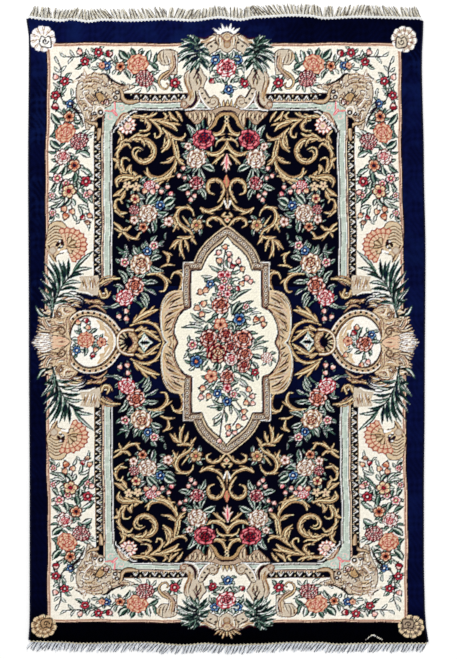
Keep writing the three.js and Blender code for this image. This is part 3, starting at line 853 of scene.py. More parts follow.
def paintClasp(sheet):
    # The clasp and the white lattice between it and the medallion.
    work(sheet, """
    ribbon 145 344, 144.4 337, 144.4 332 | 2.4 2.4 1.2 | mint white sage
    ribbon 144.4 334, 141 340, 134 343 / 145 335, 148.4 339.6, 154 343 | 2.2 2.2 1.2 | mint white sage
    blossom 146.6 338.4 | 2.2 3 | 0.6 sand 1 white | 0.3 0.4
    patch 141 343.5, 145 339.4, 149 343.5 | night
    """)
    ring = [(126.6 + 9.8 * cos(radians(a)), 342 + 9.8 * sin(radians(a))) for a in range(176, 366, 19)]
    ribbon(sheet, ring, [6.8], "brown tan sand gold sand rosewood", ribs=7, ribWool="tan")
    work(sheet, """
    ribbon 118 332.6, 123 330.8, 129 331.4 | 1 2.6 1 | white
    """)
    dots, x, y = sheet.window(119, 334, 131, 343)
    hole = np.hypot((x - 125.4) / 6.2, (y - 342) / 7.2) < 1 - 0.12 * (x > 128) * (np.floor(y / 1.7) % 2)
    dots[hole] = wool("night")


def paintSideCartouche(sheet):
    # The beaded ring at the rug's side, its ruffled shell spread over the border.
    work(sheet, """
    # The clawed scrolls behind the ring, above
    strokes 58 306.6, 66 300.6, 76 298.6, 84 302, 85 308 | 5 9 9 7 3 \
      | line ivory tan brown white tan line sand | 9 1.2 0
    strokes 64 297, 72 293.6, 82 295 | 3 4 2 | ivory line white | 3 1.2 1
    strokes 70 306, 78 304.6, 86 308 | 4 6 2 | sand brown ivory tan | 5 1.1 3
    ribbon 87 303, 93 301.6, 99 304 / 90 308, 97 306, 103 309, 107 313 / 100 302, 106 305 | 1 3.2 1 \
      | rosewood sand brown
    """)
    # The beaded ring, a little pointed towards the middle
    middle = table("""
        67.4 343, 67.6 333.7, 71 324, 77 316.8, 85 313.1, 94 313.1, 103 315.8, 110.6 321.2, 116.6 328.7,
        120 335.6, 121 343""")
    work(sheet, """
    patch 64.6 343, 64.6 332.8, 68 322.2, 74.6 314.2, 84 310.4, 94 310.2, 104 313, 112.6 318.8, \
      119 326.8, 123.4 333.7, 124 343 | gold
    ribbon 67.4 343, 67.6 333.7, 71 324, 77 316.8, 85 313.1, 94 313.1, 103 315.8, 110.6 321.2, \
      116.6 328.7, 120 335.6, 121 343 | 6.8 | tan ivory sand shellPink tan sand brown
    patch 70.6 343, 70.8 334.3, 73.8 326.3, 79.4 320.1, 86 316.8, 93.6 316.8, 101 319.4, 108 324.8, \
      113.6 331.8, 116.8 338.4, 117 343 | ivory
    ribbon 70.6 343, 70.8 334.3, 73.8 326.3, 79.4 320.1, 86 316.8, 93.6 316.8, 101 319.4, 108 324.8, \
      113.6 331.8, 116.8 338.4, 117 343 | 1.2 | brown
    ribbon 64.6 343, 64.6 332.8, 68 322.2, 74.6 314.2, 84 310.4, 94 310.2, 104 313, 112.6 318.8, \
      119 326.8, 123.4 333.7, 124 343 | 0.9 | bark
    """)
    for at in smoothLine(middle, 4)[8::23]:
        blossom(sheet, at, 1.3, 4, "1 bark", 0.0)
    work(sheet, """
    area 97 320, 103 322, 109 328.6, 113.6 335, 114.4 343, 107.6 343, 108.4 338, 104.6 335.6, 105 331, \
      100 329.6, 100.4 325.6 | sand
    strokes 101 323, 107 328, 111.6 335, 112 343 | 2 4 4 3 | putty ivory sand | 4 1.3 1
    # Its dark mouth, and the loop that holds it
    patch 119 343, 119.6 337.6, 123 333.4, 129 333, 129 343 | night
    ribbon 133 330, 127 330.2, 121.4 332.6, 118.6 337, 118 343 | 4.4 | brown tan ivory sand brown
    ribbon 120 340.6, 124.4 341.6 / 121 336.4, 125 339 / 124 333.4, 127 337.4 | 1.8 0.6 | sand
    # The shell, over the ring's near end
    area 46 343, 45 330, 45 318, 47 310, 52 309, 54 317, 58 317, 58.6 309, 66 305, 73 307, 77.6 311.4, \
      73 315.4, 70.8 320, 71.6 325, 69.4 331, 70.4 337, 69.6 343 | sand brown 0.8
    """)
    feathers = ["white ivory brown", "ivory tan", "white sand brown"]
    edgeFeathers = ["brown ivory sand", "brown sand putty", "rosewood putty brown"]
    for i in range(19):
        # The ragged feathers of its outer edge
        y = 309.6 + i * 1.85
        reach = np.interp(y, [309, 316, 324, 332, 343], [41.6, 39.6, 38.8, 36.4, 31.6])
        tip = (reach + (i % 2) * 1.6, y - 1.6 + (i % 3) * 0.8)
        leafShape(sheet, (53.6, y + 2.4), tip, 3.0, 0.12, (feathers if i > 13 else edgeFeathers)[i % 3])
    folds = rows("""
        47 311, 46 320, 51 327, 60 325 | 3 7 7 3
        55 318, 58 323, 64 324, 70 319 | 3 6 6 3
        60 307, 58.6 313, 62 318, 70 315.4 | 3 6 6 3
        67 306, 66 311, 70 313, 75 311 | 3 5 4 2
        48 331, 55 328.6, 62 330, 67 337 | 4 7 6 3
        59 333, 65 337, 68 343 | 3 5 3
        59 311, 62 306, 70 306.4, 77 311.4 | 2 5 5 1
        72 315.6, 68.6 320, 69.4 327, 68.4 336 | 2 4 4 3""")
    for seed, (guide, wide) in enumerate(folds):
        names = "brown sand tan ivory brown sand putty rosewood apricot"
        strokes(sheet, table(guide), given(wide), names, 10, 1.0, seed)
    work(sheet, """
    volute 62 331.4 | 4.6 200 1.3 1.9 | brown sand brown | 0.25
    volute 60 315 | 4 150 1.3 1.9 | brown sand brown | 0.25
    blossom 46.6 310 | 1.6 2 | 1 wine | 0.1
    area 69.4 343, 67 338.4, 60 336.4, 53 335, 51 339, 50.6 343 | apricot brown 0.8
    strokes 66 341, 60 339.6, 52 341 | 3 7 5 | peach apricot rosewood apricot sand | 5 1.1 2
    """)
    for i in range(5):
        leafShape(sheet, (53, 342 - i * 1.6), (32 + i * 1.5, 341.6 - i * 2.2), 2.8, -0.08, feathers[i % 2])


def paintMedallion(sheet):
    # The linked frame of the medallion, then its cream heart.
    work(sheet, """
    area 183.6 291, 177 290.4, 170 292.4, 165 298, 161.6 306, 160 318, 161 330, 164 338, 169.6 343, \
      184 343, 176 330, 180 313, 186 305 | sand
    """)
    lobes = paths("""
        184 293, 175 294, 167 301, 163 310 / 185 296, 177 299, 170 305, 164 311 / 187 303, 180 304, 174 305 /
        184 307, 177 309, 168 312, 163 318 / 180 312, 173 314, 167 319, 164 325 /
        177 318, 172 320, 167 326, 166 332 / 175 326, 171 330, 168 336 / 176 334, 173 338, 174 343""")
    for seed, guide in enumerate(lobes):
        strokes(sheet, guide, [3, 5.5, 4], "tan putty shellPink brown gold putty", 6, 1.25, seed)
    work(sheet, """
    ribbon 171 302.4, 181 298 / 170 308, 178.4 305.6 / 167 315.6, 173.4 312.4 / 165.4 322.8, 171 320 \
      / 165 331, 170.4 328 / 168 338, 173 335 | 0.5 1.9 1 | bark
    ribbon 169.4 343, 164.6 338.4, 161.8 330, 161 318, 162.8 306.6, 166.6 299, 171 294 \
      | 1.8 2.2 2 2 1.6 1.2 0.8 | brown white frameLight
    patch 228 226, 222 229.5, 214 236, 206.3 242.5, 199.3 251, 194.4 261.5, 183.2 262.2, 183.4 291.5, \
      187 298, 186 306, 192 306, 228 306 | fawn
    """)
    links = paths("""
        226.4 232, 219 237, 211 243.4, 204 251, 199.8 258.6, 197.8 264.6 / 186.8 265.6, 195 265.8, 200 265.4 /
        187 268, 187 280, 187 292, 187.2 304""")
    for line in links:
        ribbon(sheet, line, [6.6], "brown fawn taupe taupe fawn brown")
        chain(sheet, line, 4.4, 2.3, "0.36 ivory 0.72 brown 1 putty")
    work(sheet, """
    patch 228 235.6, 224 240, 221.4 244, 213.6 249.6, 207.6 256, 203.6 263.4, 201.4 269.8, 191.2 270.2, \
      191.2 307, 184 310, 178.4 316.6, 175 325, 174.4 333, 178.4 342, 178.4 343, 228 343 \
      | butter bark 1.5
    """)
    edge = table("190.6 270, 190.8 290, 190.4 307, 184 309.4, 178 316, 174.4 325, 173.8 333, 178 342")
    ribbon(sheet, [(x - 0.9, y - 0.4) for x, y in edge], [0.9], "rosewood")
    work(sheet, """
    ribbon 226 227, 221.6 229.6, 213.6 236, 205.9 242.4, 198.9 251, 194 261 | 1.1 | sand
    ribbon 226 236.4, 221 242, 213 248, 207 254, 203 262, 200.6 269 | 1 | sand
    bar 183.6 262, 183.6 291 | 0.9 ivory
    bar 183.4 262.4, 193.6 262.4 | 0.9 ivory
    """)
    work(sheet, "mottle 174 234 228 343 | butter cream 2.2 0.08")


# The palms: their stem, and each blade's share of it, tip, bend and wools
palmWools = dict(
    deep="pine leaf pine line leaf white", fresh="white leaf line pine sage pine",
    pale="pine sage white leaf pine",
)
palmHead = dict(
    spine="198 71, 199 61, 198.6 52, 196.6 45",
    blades="""
        0.4 190 72.6 -0.2 deep, 0.5 183.6 68 -0.2 fresh, 0.35 206.6 69.6 0.2 deep, 0.5 209.4 64 0.2 fresh,
        0.65 179 62.6 -0.2 deep, 0.8 178 55.6 -0.2 fresh, 0.65 209.6 57.6 0.2 deep,
        0.8 207.4 50.6 0.2 fresh, 0.9 179.6 48.4 -0.16 deep, 0.95 183 41.6 -0.14 fresh,
        0.9 204 45.4 0.16 deep, 1 188 38 -0.08 deep, 1 193.6 37.4 -0.02 fresh, 1 200 41 0.06 deep,
        0.55 189 62 -0.2 deep, 0.55 204.6 61 0.2 fresh, 0.75 188 54 -0.2 fresh""",
)
palmSide = dict(
    spine="52.6 317, 55 306, 59 294, 66 282, 72 276",
    blades="""
        0.12 43 299.6 -0.2 deep, 0.1 40.2 287 -0.12 fresh, 0.2 45 291 -0.2 fresh, 0.2 42 279 -0.14 deep,
        0.3 43.6 270.6 -0.14 fresh, 0.4 46 262 -0.14 deep, 0.5 50 259 -0.12 fresh, 0.4 49 279 -0.16 deep,
        0.6 55 261 -0.1 deep, 0.7 59.8 260 -0.08 fresh, 0.8 64.6 261 -0.06 deep, 0.9 70 259 -0.04 deep,
        1 94 251.4 0.05 pale, 0.95 93 268.4 0.12 pale, 0.85 84 274.6 0.1 deep, 0.7 82 283 0.12 pale,
        0.6 80 289.6 0.1 deep, 0.45 77 297.4 0.12 pale, 0.3 71 303 0.12 deep, 0.03 37 305 0.2 pale""",
)


def paintPalm(sheet, spine, blades, width):
    # Long drooping blades from along a stem, each dark with pale edges
    line = smoothLine(spine)
    ribbon(sheet, spine, [2.4, 2.2, 1], "pine")
    bases = [line[int(blade[0] * (len(line) - 1))] for blade in blades]
    for base, (_, x, y, bend, kind) in zip(bases, blades):
        leafShape(sheet, base, (x, y), width, bend, palmWools[kind])
    for number, (base, (_, x, y, bend, _)) in enumerate(zip(bases, blades)):
        near = (base[0] * 0.42 + x * 0.58 - 0.6, base[1] * 0.42 + y * 0.58 - 0.6)
        leafShape(sheet, base, near, 1.7, bend * 1.2, "line pine" if number % 3 else "sage leaf")


def paintPalms(sheet):
    blades = [(share, 198 + 1.1 * (x - 198), 58 + 1.12 * (y - 58), bend * 0.5, kind)
              for share, x, y, bend, kind in table(palmHead["blades"])]
    inner = [(share, 198 + 0.62 * (x - 198), 58 + 0.62 * (y - 58), bend, "deep")
             for share, x, y, bend, _ in blades]
    between = [(share, (x + last[1]) / 2, (y + last[2]) / 2, bend, "pale")
               for last, (share, x, y, bend, _) in zip(blades, blades[1:])]
    paintPalm(sheet, table(palmHead["spine"]), inner + between + blades, 4.4)
    paintPalm(sheet, table(palmSide["spine"]), table(palmSide["blades"]), 4.6)


def paintQuarter(sheet):
    paintGround(sheet)
    paintGuard(sheet)
    paintCorner(sheet)
    paintPlants(sheet, borderBed)
    paintCartouche(sheet)
    paintConsoles(sheet)
    work(sheet, fieldScrolls)
    paintAxis(sheet)
    paintClasp(sheet)
    paintPlants(sheet, fieldBed, "edged cold dark", 0.86)
    paintMedallion(sheet)
    paintHeadPanel(sheet)
    paintSideCartouche(sheet)
    paintPalms(sheet)


# The bouquets that aren't mirrored: in the medallion, then at the sides and ends
centreBed = dict(
    stems="""
        225 405, 222 420, 220 442 / 231 404, 238 416, 233 427 / 224 270, 223 262, 225 250 / 233 272,
        236 264, 243 270 / 206 296, 202 293 / 205 385, 202 395 / 240 385, 249 390 / 225 262, 228 256 /
        214 420, 214 428 / 236 402, 243 412 / 254 325, 264 322 / 240 282, 251 280""",
    leaves=dict(
        frost="""
            225 272 209 266 4.6, 213 277 202 276 4, 230 274 242 269 4.4 -0.1, 231 284 236 287 3.4,
            235 309 258 308 4.4 -0.1, 232 298 240 291 3.6, 204 324 190 322 4.4, 206 330 182 327 4.4 -0.1,
            240 330 252 325 5, 212 312 203 310 3.6, 208 360 202 368 5 -0.1, 236 378 249 389 4,
            252 350 268 348 3.4, 214 370 203 371 4, 217 380 206 386 4.4, 224 404 207 408 4.2,
            221 414 212 421 4, 228 406 231 416 3.6, 233 408 240 420 3.6, 240 392 247 399 3.6,
            188 350 183 358 3.4""",
        pale="""
            232 281 241 279 4.4, 226 262 231 258 2.6, 250 315 262 313 3""",
        leaf="""
            221 268 217 258 3.4, 228 268 226 260 3, 216 280 207 283 3.4, 216 316 206 323 4.4,
            254 344 265 336 3, 223 408 216 411 4, 224 412 226 424 3.4""",
        dark="""
            232 316 240 301 6, 234 314 254 301 5.6, 232 302 252 289 4.6, 206 322 191 313 5,
            208 336 195 332 4.4 -0.1, 218 324 211 329 4.4, 232 322 235 331 5, 206 352 191 354 5,
            232 348 234 358 5, 218 362 216 372 6, 232 363 233 372 6 -0.1, 252 356 262 359 5,
            252 362 257 369 5, 237 373 254 382 6, 252 348 269 341 3.4, 216 376 203 380 4,
            230 386 238 383 4, 228 402 238 400 4.2, 223 406 212 401 4.2, 221 420 213 428 4,
            212 385 206 391 3.6, 203 346 199 351 4, 228 312 222 318 4""",
    ),
    flowers="""
        open 211 284.5 4.7 blue 0.2, open 222 275.6 4.4 pinkCloud 0.1, open 228 275.4 4.2 pinkCloud 0.6,
        open 225 281.4 4.4 rosy 0.3, open 222.5 288.5 4.2 pinkCloud 0.9, open 229.5 288 4.2 rosy 0.1,
        open 221 294.5 4 rosy 0.5, open 228 294.5 4 pinkCloud 0.2, rose 221 306 9.4 coral 0.5,
        open 240 319 7 blueOrange 0.3, open 221 325 6.8 peach 0.2, rose 226 335.6 8.2 dusty 1.2,
        rose 209 339 9.8 dusty 2.1, rose 243.4 339 10.8 coral 0.9, open 193 344.5 5.6 rosy 0.7,
        rose 230 348 7.4 dusty 0.2, rose 217 353.6 11.4 creamHeart 0.2, rose 230.4 359 7.4 whitePink 0.9,
        rose 244.4 355 8.4 coral 0.2, rose 243 366 7.4 dusty 0.4, open 195.6 361.4 7 blueOrange 0.1,
        peony 266.8 357.4 6 blushPeony 0.5, open 255 372.4 4.2 red 0.2, rose 226.6 377 8 coral 1.6,
        open 210.8 377 6.4 peach 0.5, open 217.4 394.4 4.9 blue 0.3, open 233.4 394.6 4.6 rosy 0.1,
        open 227 402.4 5.2 blue 0.8, open 227 388.6 4.6 pinkCloud 0.3, open 246.6 306.6 4 rosy 0.3""",
    buds=dict(
        coral="""
            224.5 247.6 3, 219 261.4 3.2, 243 269 3, 243 283.4 2.8, 204 304 3.4, 202 314.4 3.2,
            263.4 319.4 3.2, 265 324.4 3, 202.5 389 3.4, 208.6 397.4 3.4, 249 390 3.2, 246 403.4 3.2,
            243.6 412.6 3.2, 228 429 3.2, 238.6 428 3""",
        blush="""
            218 253.4 3, 228.4 254.4 3, 229.5 260.4 2.8, 238.5 261.4 3, 248 277.8 3.2, 251.7 281.4 2.8,
            201 398 3.2, 252.4 397 3, 252.6 404.4 2.8, 244 419 3, 229 435.4 3, 235.4 434.4 2.8,
            220 443.4 3""",
        crimson="232.5 266.4 2.8, 238.5 288.4 2.8",
        peach="201.5 292 3.4, 206.4 290.6 3.2, 197.4 308 3.4",
        orange="257 319.4 3.2",
    ),
)
looseBeds = dict(
    leaves=dict(
        dark="""
            83 333 75 331 4, 91 334 98 329 4.6, 86 346 85 356 5, 80 344 76 349 3.4, 360 338 365 328 4.6,
            372 343 383 342 5, 369 349 374 355 4.6, 366 352 364 361 3.6, 220 76 212 76 4, 222 60 221 53 4,
            231 60 233 53 4, 220 608 212 608 4""",
        frost="""
            80 340 71 340 4.4 -0.1, 92 346 98 351 4, 94 339 99 336 3.6, 363 350 356 354 4.6,
            358 341 352 336 4, 236 70 244 68 4, 233 80 241 78 4, 236 614 244 616 4""",
        pale="""
            82 334 80 324 2.6, 89 333 88 329 2.4, 354 349 347 352 3.4, 370 337 376 330 3.2,
            231 62 240 60 4, 231 624 240 626 4""",
    ),
    flowers="""
        rose 86 340 8.6 peach 0.6, open 77 350.6 4.4 blue 0.4, open 102 342.4 4.8 peach 0.6,
        open 374 334.6 4.4 blue 0.2, rose 366.4 344.4 8.8 coral 0.2, open 349.6 341.4 4.8 peach 0.6,
        open 244.6 84 4.6 red 0.3, rose 226.6 68.6 10.2 pinkStripe 0.4, open 228 90.4 5.4 blue 0.3,
        open 213 600 4.4 red 0.3, rose 226.6 616 10.2 pinkStripe 1.6, open 228 594 5.4 blue 0.9""",
    buds=dict(
        coral="79 322.6 3, 88.6 327.4 3, 96 349.8 2.8, 359.4 328 3, 363.4 365.4 3, 347 355.4 3",
        crimson="87 320.6 3, 93 355.4 2.8, 356 333.4 3",
        blush="370 362.4 3",
    ),
)

# The scalloped rosettes of the outer corners: column, row, and the wools each was knotted in
cornerRosettes = table("""
    42.5 39 pearl ivory taupe, 411.5 39 ivory putty rosewood,
    42.5 645 sand tan brown, 411.5 645 sand fawn bark""")


def paintRosette(sheet, column, row, light, mid, dark):
    inward = 1 if column < middleColumn else -1
    down = 1 if row < middleRow else -1
    rings = f"0.42 {mid} 0.6 {light} 0.78 {mid} 1 {light}"
    blossom(sheet, (column, row), 13.2, 10, rings, 0.1, 0.15, vein=dark)
    for i in range(10):
        angle = 0.3 + i * 2 * pi / 10
        line = [(column + reach * cos(angle), row + reach * sin(angle)) for reach in (7.6, 11.6)]
        ribbon(sheet, line, [0.8, 0.6], dark)
    x, y = column + 2.6 * inward, row + 2.6 * down
    outline = table("-5.6 -0.6, -3.4 -5, 0.4 -3.4, 3.2 -5.2, 5.4 -2.8, 5.6 5.6, -2.6 5.4, -5.4 3")
    area(sheet, [(x + dx * inward, y + dy * down) for dx, dy in outline], mid, "bark", 1.1)
    volute(sheet, (x, y), 3.2, 0 if inward > 0 else 180, 1.2, 1.2, "bark", 0.15, inward * down)


def paintRays(sheet, row, up, ramp):
    # The pointed rays over a crest
    for i in range(-5, 6):
        angle = radians(i * 17)
        reaches = (8, 12.6 + 3 * (i % 2))
        ray = [(middleColumn + 1.15 * reach * sin(angle), row - up * reach * cos(angle)) for reach in reaches]
        ribbon(sheet, ray, [3.6, 2.2, 0.4], ramp, over=("navy",))


def paintCartoon(dotsPerSquare):
    quarter = Sheet(sheetLeft, sheetTop, middleColumn, middleRow, dotsPerSquare, "navy")
    paintQuarter(quarter)
    # The quarter is turned over to both sides and both ends.
    half = np.concatenate([quarter.dots, quarter.dots[:, ::-1]], 1)
    right, foot = 2 * middleColumn - sheetLeft, 2 * middleRow - sheetTop
    whole = Sheet(sheetLeft, sheetTop, right, foot, dotsPerSquare, "navy")
    whole.dots[:] = np.concatenate([half, half[::-1]])
    for rosette in cornerRosettes:
        paintRosette(whole, *rosette)
    paintRays(whole, 38.5, 1, "ivory white")
    paintRays(whole, 645.5, -1, "brown tan sand")
    # A loose end of yarn lies on the foot border.
    ribbon(whole, table("366 661, 372.5 655.4, 376.4 657, 382.5 661"), [0.7, 1.1, 0.7], "putty white")
    paintPlants(whole, centreBed, "dark leaf dark frost cool")
    paintPlants(whole, looseBeds)
    return whole


cartoon = paintCartoon(3)
print("cartoon painted", cartoon.dots.shape)

# The rug's flat size, and where the cartoon lies on it. Each side and end drifted a little on the loom.
# A wave has its height, its rates along the rows and across the columns, and its start.
rug = {"width": 1.524, "length": 2.385, "firstLength": 2.38}
layout = {
    "square": 0.00384,
    "middleX": -0.0017,
    "middleY": -0.0482,
    "rows": [88, 250, 410, 570],
    "leftPull": [0.996, 1.007, 0.998, 0.991],
    "rightPull": [0.961, 0.974, 0.989, 0.999],
    "footPull": 1.127e-4,
    "footReach": 320,
    "columnWaves": [(0.5, 0.043, 0, 1), (0.35, 0.117, 0.02, 0)],
    "rowWaves": [(0.4, 0, 0.05, 2), (0.3, 0.01, 0.13, 0)],
    "jitter": 0.2,
    "columnGrain": 0.0017,
    "rowGrain": 0.0019,
}


def toSquares(x, y):
    # The column and row of the cartoon for places on the rug, in metres.
    column = (x - layout["middleX"]) / layout["square"]
    row = middleRow - (y - layout["middleY"]) / layout["square"]
    left, right = (np.interp(row, layout["rows"], layout[side]) for side in ("leftPull", "rightPull"))
    pull = layout["footPull"]
    drawn = (1 - np.sqrt(1 - 4 * pull * np.clip(row - middleRow, 0, layout["footReach"]))) / (2 * pull)
    wave, sway = (
        sum(height * np.sin(row * along + column * across + start)
            for height, along, across, start in layout[key])
        for key in ("columnWaves", "rowWaves")
    )
    row = np.where(row < middleRow, row, middleRow + drawn + pull * drawn**2)
    return middleColumn + column / np.where(column < 0, left, right) + wave, row + sway


def blurred(dots, reach, axes):
    # Each dot's mean with its neighbours along the axes.
    for axis in axes:
        dots = sum(np.roll(dots, shift, axis) for shift in range(-reach, reach + 1)) / (2 * reach + 1)
    return dots


# Each knot has the mean of its dots, and the dark wool beside a pale one is sunk and looks darker.
contrast = {"pale": 0.9, "dark": 3.0, "darkest": 0.008}
meanDots = blurred(cartoon.dots, 1, (0, 1))
offDots = meanDots - blurred(cartoon.dots, 2, (0, 1, 0, 1))
knotDots = meanDots + np.where(offDots > 0, contrast["pale"], contrast["dark"]) * offDots
knotDots = np.clip(knotDots, contrast["darkest"], 1)
isNavy = np.abs(cartoon.dots - wool("navy")).max(2) < 0.01
knotDots[isNavy] = wool("navy")

# How bright the navy border is from foot to head and from side to side: painted light and shade from how
# light falls on its nap, with some uneven dye as well.
navyLightAndDye = {
    "y": [-1.19, -1.13, -1.05, -0.4, 0.9, 1.12, 1.19],
    "tone": [0.03, 0.06, 0.45, 0.6, 0.85, 1.5, 1.5],
    "rightTone": [0.03, 0.06, 1.0, 1.3, 1.3, 0.5, 0.4],
    "rightFrom": 0.3,
    "mottle": 0.35,
}


def knotColours(x, y):
    # The wool at each place, as linear colour.
    column, row = toSquares(x, y)
    column = column + layout["jitter"] * (flecks(x, y, layout["columnGrain"]) - 0.5)
    row = row + layout["jitter"] * (flecks(y, x, layout["rowGrain"]) - 0.5)
    i = np.clip(((row - cartoon.top) * cartoon.grain).astype(int), 0, knotDots.shape[0] - 1)
    j = np.clip(((column - cartoon.left) * cartoon.grain).astype(int), 0, knotDots.shape[1] - 1)
    srgb = knotDots[i, j]
    rgb = np.where(srgb < 0.04045, srgb / 12.92, ((srgb + 0.055) / 1.055) ** 2.4)
    # Navy knots are scaled by painted light and shade over the border, and by soft mottled patches that are
    # partly painted sheen and partly uneven dye.
    left, right = (np.interp(y, navyLightAndDye["y"], navyLightAndDye[side]) for side in ("tone", "rightTone"))
    tone = left + (right - left) * np.clip(x / navyLightAndDye["rightFrom"], 0, 1)
    across, along = np.sin(x * 150 + 3 * np.sin(y * 47)), np.sin(y * 110 + 3 * np.sin(x * 61))
    tone *= 1 + navyLightAndDye["mottle"] * across * along
    return rgb * np.where(isNavy[i, j], tone, 1)[:, None]


def setColours(o, rgb):
    data = np.ones((len(rgb), 4), np.float32)
    data[:, :3] = rgb
    o.data.color_attributes.new("wool", "FLOAT_COLOR", "POINT").data.foreach_set("color", data.ravel())


def getPoints(o):
    out = np.empty(len(o.data.vertices) * 3, np.float32)
    o.data.vertices.foreach_get("co", out)
    return out.reshape(-1, 3)


# The four edges of the pile, as the frame has them, each from corner to corner.
underside = getPoints(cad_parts["pile_body"])
underside = underside[underside[:, 2] < 0.0002]
edges = {"atCorner": 0.01, "waver": 0.03}


def edgeLine(along, across, outward):
    place, out = underside[:, along], underside[:, across] * outward
    first, last = (underside[np.argmax(out + place * way)] for way in (-1, 1))
    within = (place > first[along] + edges["atCorner"]) & (place < last[along] - edges["atCorner"])
    within &= out > min(first[across] * outward, last[across] * outward) - edges["waver"]
    middle = underside[within]
    found = np.vstack([first, middle[np.argsort(middle[:, along])], last])
    return found[:, along], found[:, across]


leftLine, rightLine = edgeLine(1, 0, -1), edgeLine(1, 0, 1)
footLine, headLine = edgeLine(0, 1, -1), edgeLine(0, 1, 1)


def between(place, low, high, share, inset):
    # A share of the way from one edge to the one across, at a place along them.
    low, high = np.interp(place, *low) + inset, np.interp(place, *high) - inset
    return low + (high - low) * share


def onPile(u, v, inset=0.0):
    # A place on the pile from shares of its width and length, closed in on from a first guess.
    y = (v - 0.5) * rug["firstLength"]
    for _ in range(5):
        x = between(y, leftLine, rightLine, u, inset)
        y = between(x, footLine, headLine, v, inset)
    return x, y


def toEdge(u, v, width=1, length=1):
    # How far a place is from the nearest edge, from shares of the width and length.
    return np.minimum(np.minimum(u, 1 - u) * width, np.minimum(v, 1 - v) * length)


def newGrid(name, columns, rows, skirt=True):
    # A plane of square faces, with the share of its width and length that each point stands at.
    # With a skirt, its edge is turned down and its underside filled.
    bpy.ops.mesh.primitive_grid_add(x_subdivisions=columns, y_subdivisions=rows, size=1)
    o = bpy.context.active_object
    o.name = name
    top = len(o.data.vertices)
    if skirt:
        bpy.ops.object.mode_set(mode="EDIT")
        bpy.ops.mesh.select_all(action="DESELECT")
        bpy.ops.mesh.select_mode(type="EDGE")
        bpy.ops.mesh.select_non_manifold()
        bpy.ops.mesh.extrude_region_move(TRANSFORM_OT_translate={"value": (0, 0, -1)})
        bpy.ops.mesh.edge_face_add()
        bpy.ops.object.mode_set(mode="OBJECT")
    flat = np.clip(getPoints(o) + 0.5, 0, 1)
    return o, top, flat[:, 0], flat[:, 1]


def finishMesh(o, x, y, z, sharpAngle, weld=False):
    # Puts a grid's points in place, turns its faces outwards and smooths it.
    o.data.vertices.foreach_set("co", np.stack([x, y, z], 1).astype(np.float32).ravel())
    o.data.update()
    bpy.ops.object.select_all(action="DESELECT")
    o.select_set(True)
    bpy.context.view_layer.objects.active = o
    bpy.ops.object.mode_set(mode="EDIT")
    bpy.ops.mesh.select_all(action="SELECT")
    if weld:
        bpy.ops.mesh.remove_doubles(threshold=0.00001)
        bpy.ops.mesh.fill_holes(sides=0)
    bpy.ops.mesh.normals_make_consistent(inside=False)
    bpy.ops.object.mode_set(mode="OBJECT")
    bpy.ops.object.shade_smooth_by_angle(angle=radians(sharpAngle))
    return o


# The pile, in lengthwise strips that meet edge to edge.
pile = {
    "strips": 5,
    "pitch": 0.0034,
    "rim": [0.0008, 0.0021],
    "rimReach": [0, 0.0008, 0.0021, 0.0038],
    "rimHeight": [0.0066, 0.0086, 0.0096, 0.0099],
    "foot": 0.0029,
    "toothDepth": 0.0046,
    "toothReach": 0.006,
    "unevenness": 0.00022,
    "knot": 0.0032,
    "knotTone": 0.22,
    "toneGrain": 0.0031,
    "rowTone": 0.05,
}


def steps(length, atStart, atEnd):
    # Places along a length, closer together by an outer rim.
    line = np.linspace(0, 1, int(length / pile["pitch"]) + 1)
    extra = [r / length for r in pile["rim"]]
    if atStart:
        line = np.concatenate([line[:1], extra, line[1:]])
    if atEnd:
        line = np.concatenate([line[:-1], [1 - e for e in extra[::-1]], line[-1:]])
    return line


def pileStrip(number):
    count, width, length = pile["strips"], rug["width"], rug["length"]
    across = steps(width / count, number == 0, number == count - 1)
    along = steps(length, True, True)
    o, top, u, v = newGrid("pile" + str(number + 1), len(across) - 1, len(along) - 1)
    u = (number + across[np.rint(u * (len(across) - 1)).astype(int)]) / count
    v = along[np.rint(v * (len(along) - 1)).astype(int)]
    x, y = onPile(u, v)
    rimward = toEdge(u, v, width, length)
    z = np.interp(rimward, pile["rimReach"], pile["rimHeight"])
    z += pile["unevenness"] * (flecks(x, y, pile["knot"]) - 0.5) * (rimward > 0.001)
    z[top:] = pile["foot"]
    # The outermost knots of both ends stand in small teeth, over the woven strip.
    cells = int(width / count / pile["pitch"]) * count
    tooth = pile["toothDepth"] * np.abs(np.sin(pi / 4 * u * cells))
    tooth *= np.clip(1 - np.minimum(v, 1 - v) * length / pile["toothReach"], 0, 1)
    y = np.where(v > 0.5, y + tooth, y - tooth)
    # Each knot takes the dye a little differently, and each row a little more.
    row = np.floor(y / pile["knot"])
    tone = 1 + pile["knotTone"] * (flecks(x, y, pile["toneGrain"]) - 0.5)
    tone += pile["rowTone"] * np.sin(row * 1.9) * np.sin(y * 31)
    setColours(o, knotColours(x, y) * tone[:, None])
    return finishMesh(o, x, y, z, 40)


strips = [pileStrip(i) for i in range(pile["strips"])]
print("pile built")

# The knotted back, which shows the same pattern, paler, in a coarser and flatter weave.
back = {
    "pitch": 0.0086, "top": 0.003, "inset": 0.0006, "rib": 0.00025, "ribPitch": 0.008,
    "tone": 0.75, "haze": 0.05,
}


def buildBack():
    o, top, u, v = newGrid("knottedBack", *(int(rug[side] / back["pitch"]) for side in ("width", "length")))
    x, y = onPile(u, v, back["inset"])
    z = np.where(toEdge(u, v) < 0.001, 0, back["rib"] * (flecks(x, y, back["ribPitch"]) + 0.4))
    z[top:] = back["top"]
    setColours(o, back["tone"] * knotColours(x, y) + back["haze"])
    return finishMesh(o, x, y, z, 40)


knottedBack = buildBack()
print("back built")

# The overcast sides: a cord of wool wraps, with a notch between each wrap and the next.
selvedge = {
    "width": 0.007, "height": 0.0074, "gap": 0.0003, "wrapPitch": 0.0098, "slant": 0.0016, "notch": 0.0012,
    "around": 8, "step": 0.00245,
}


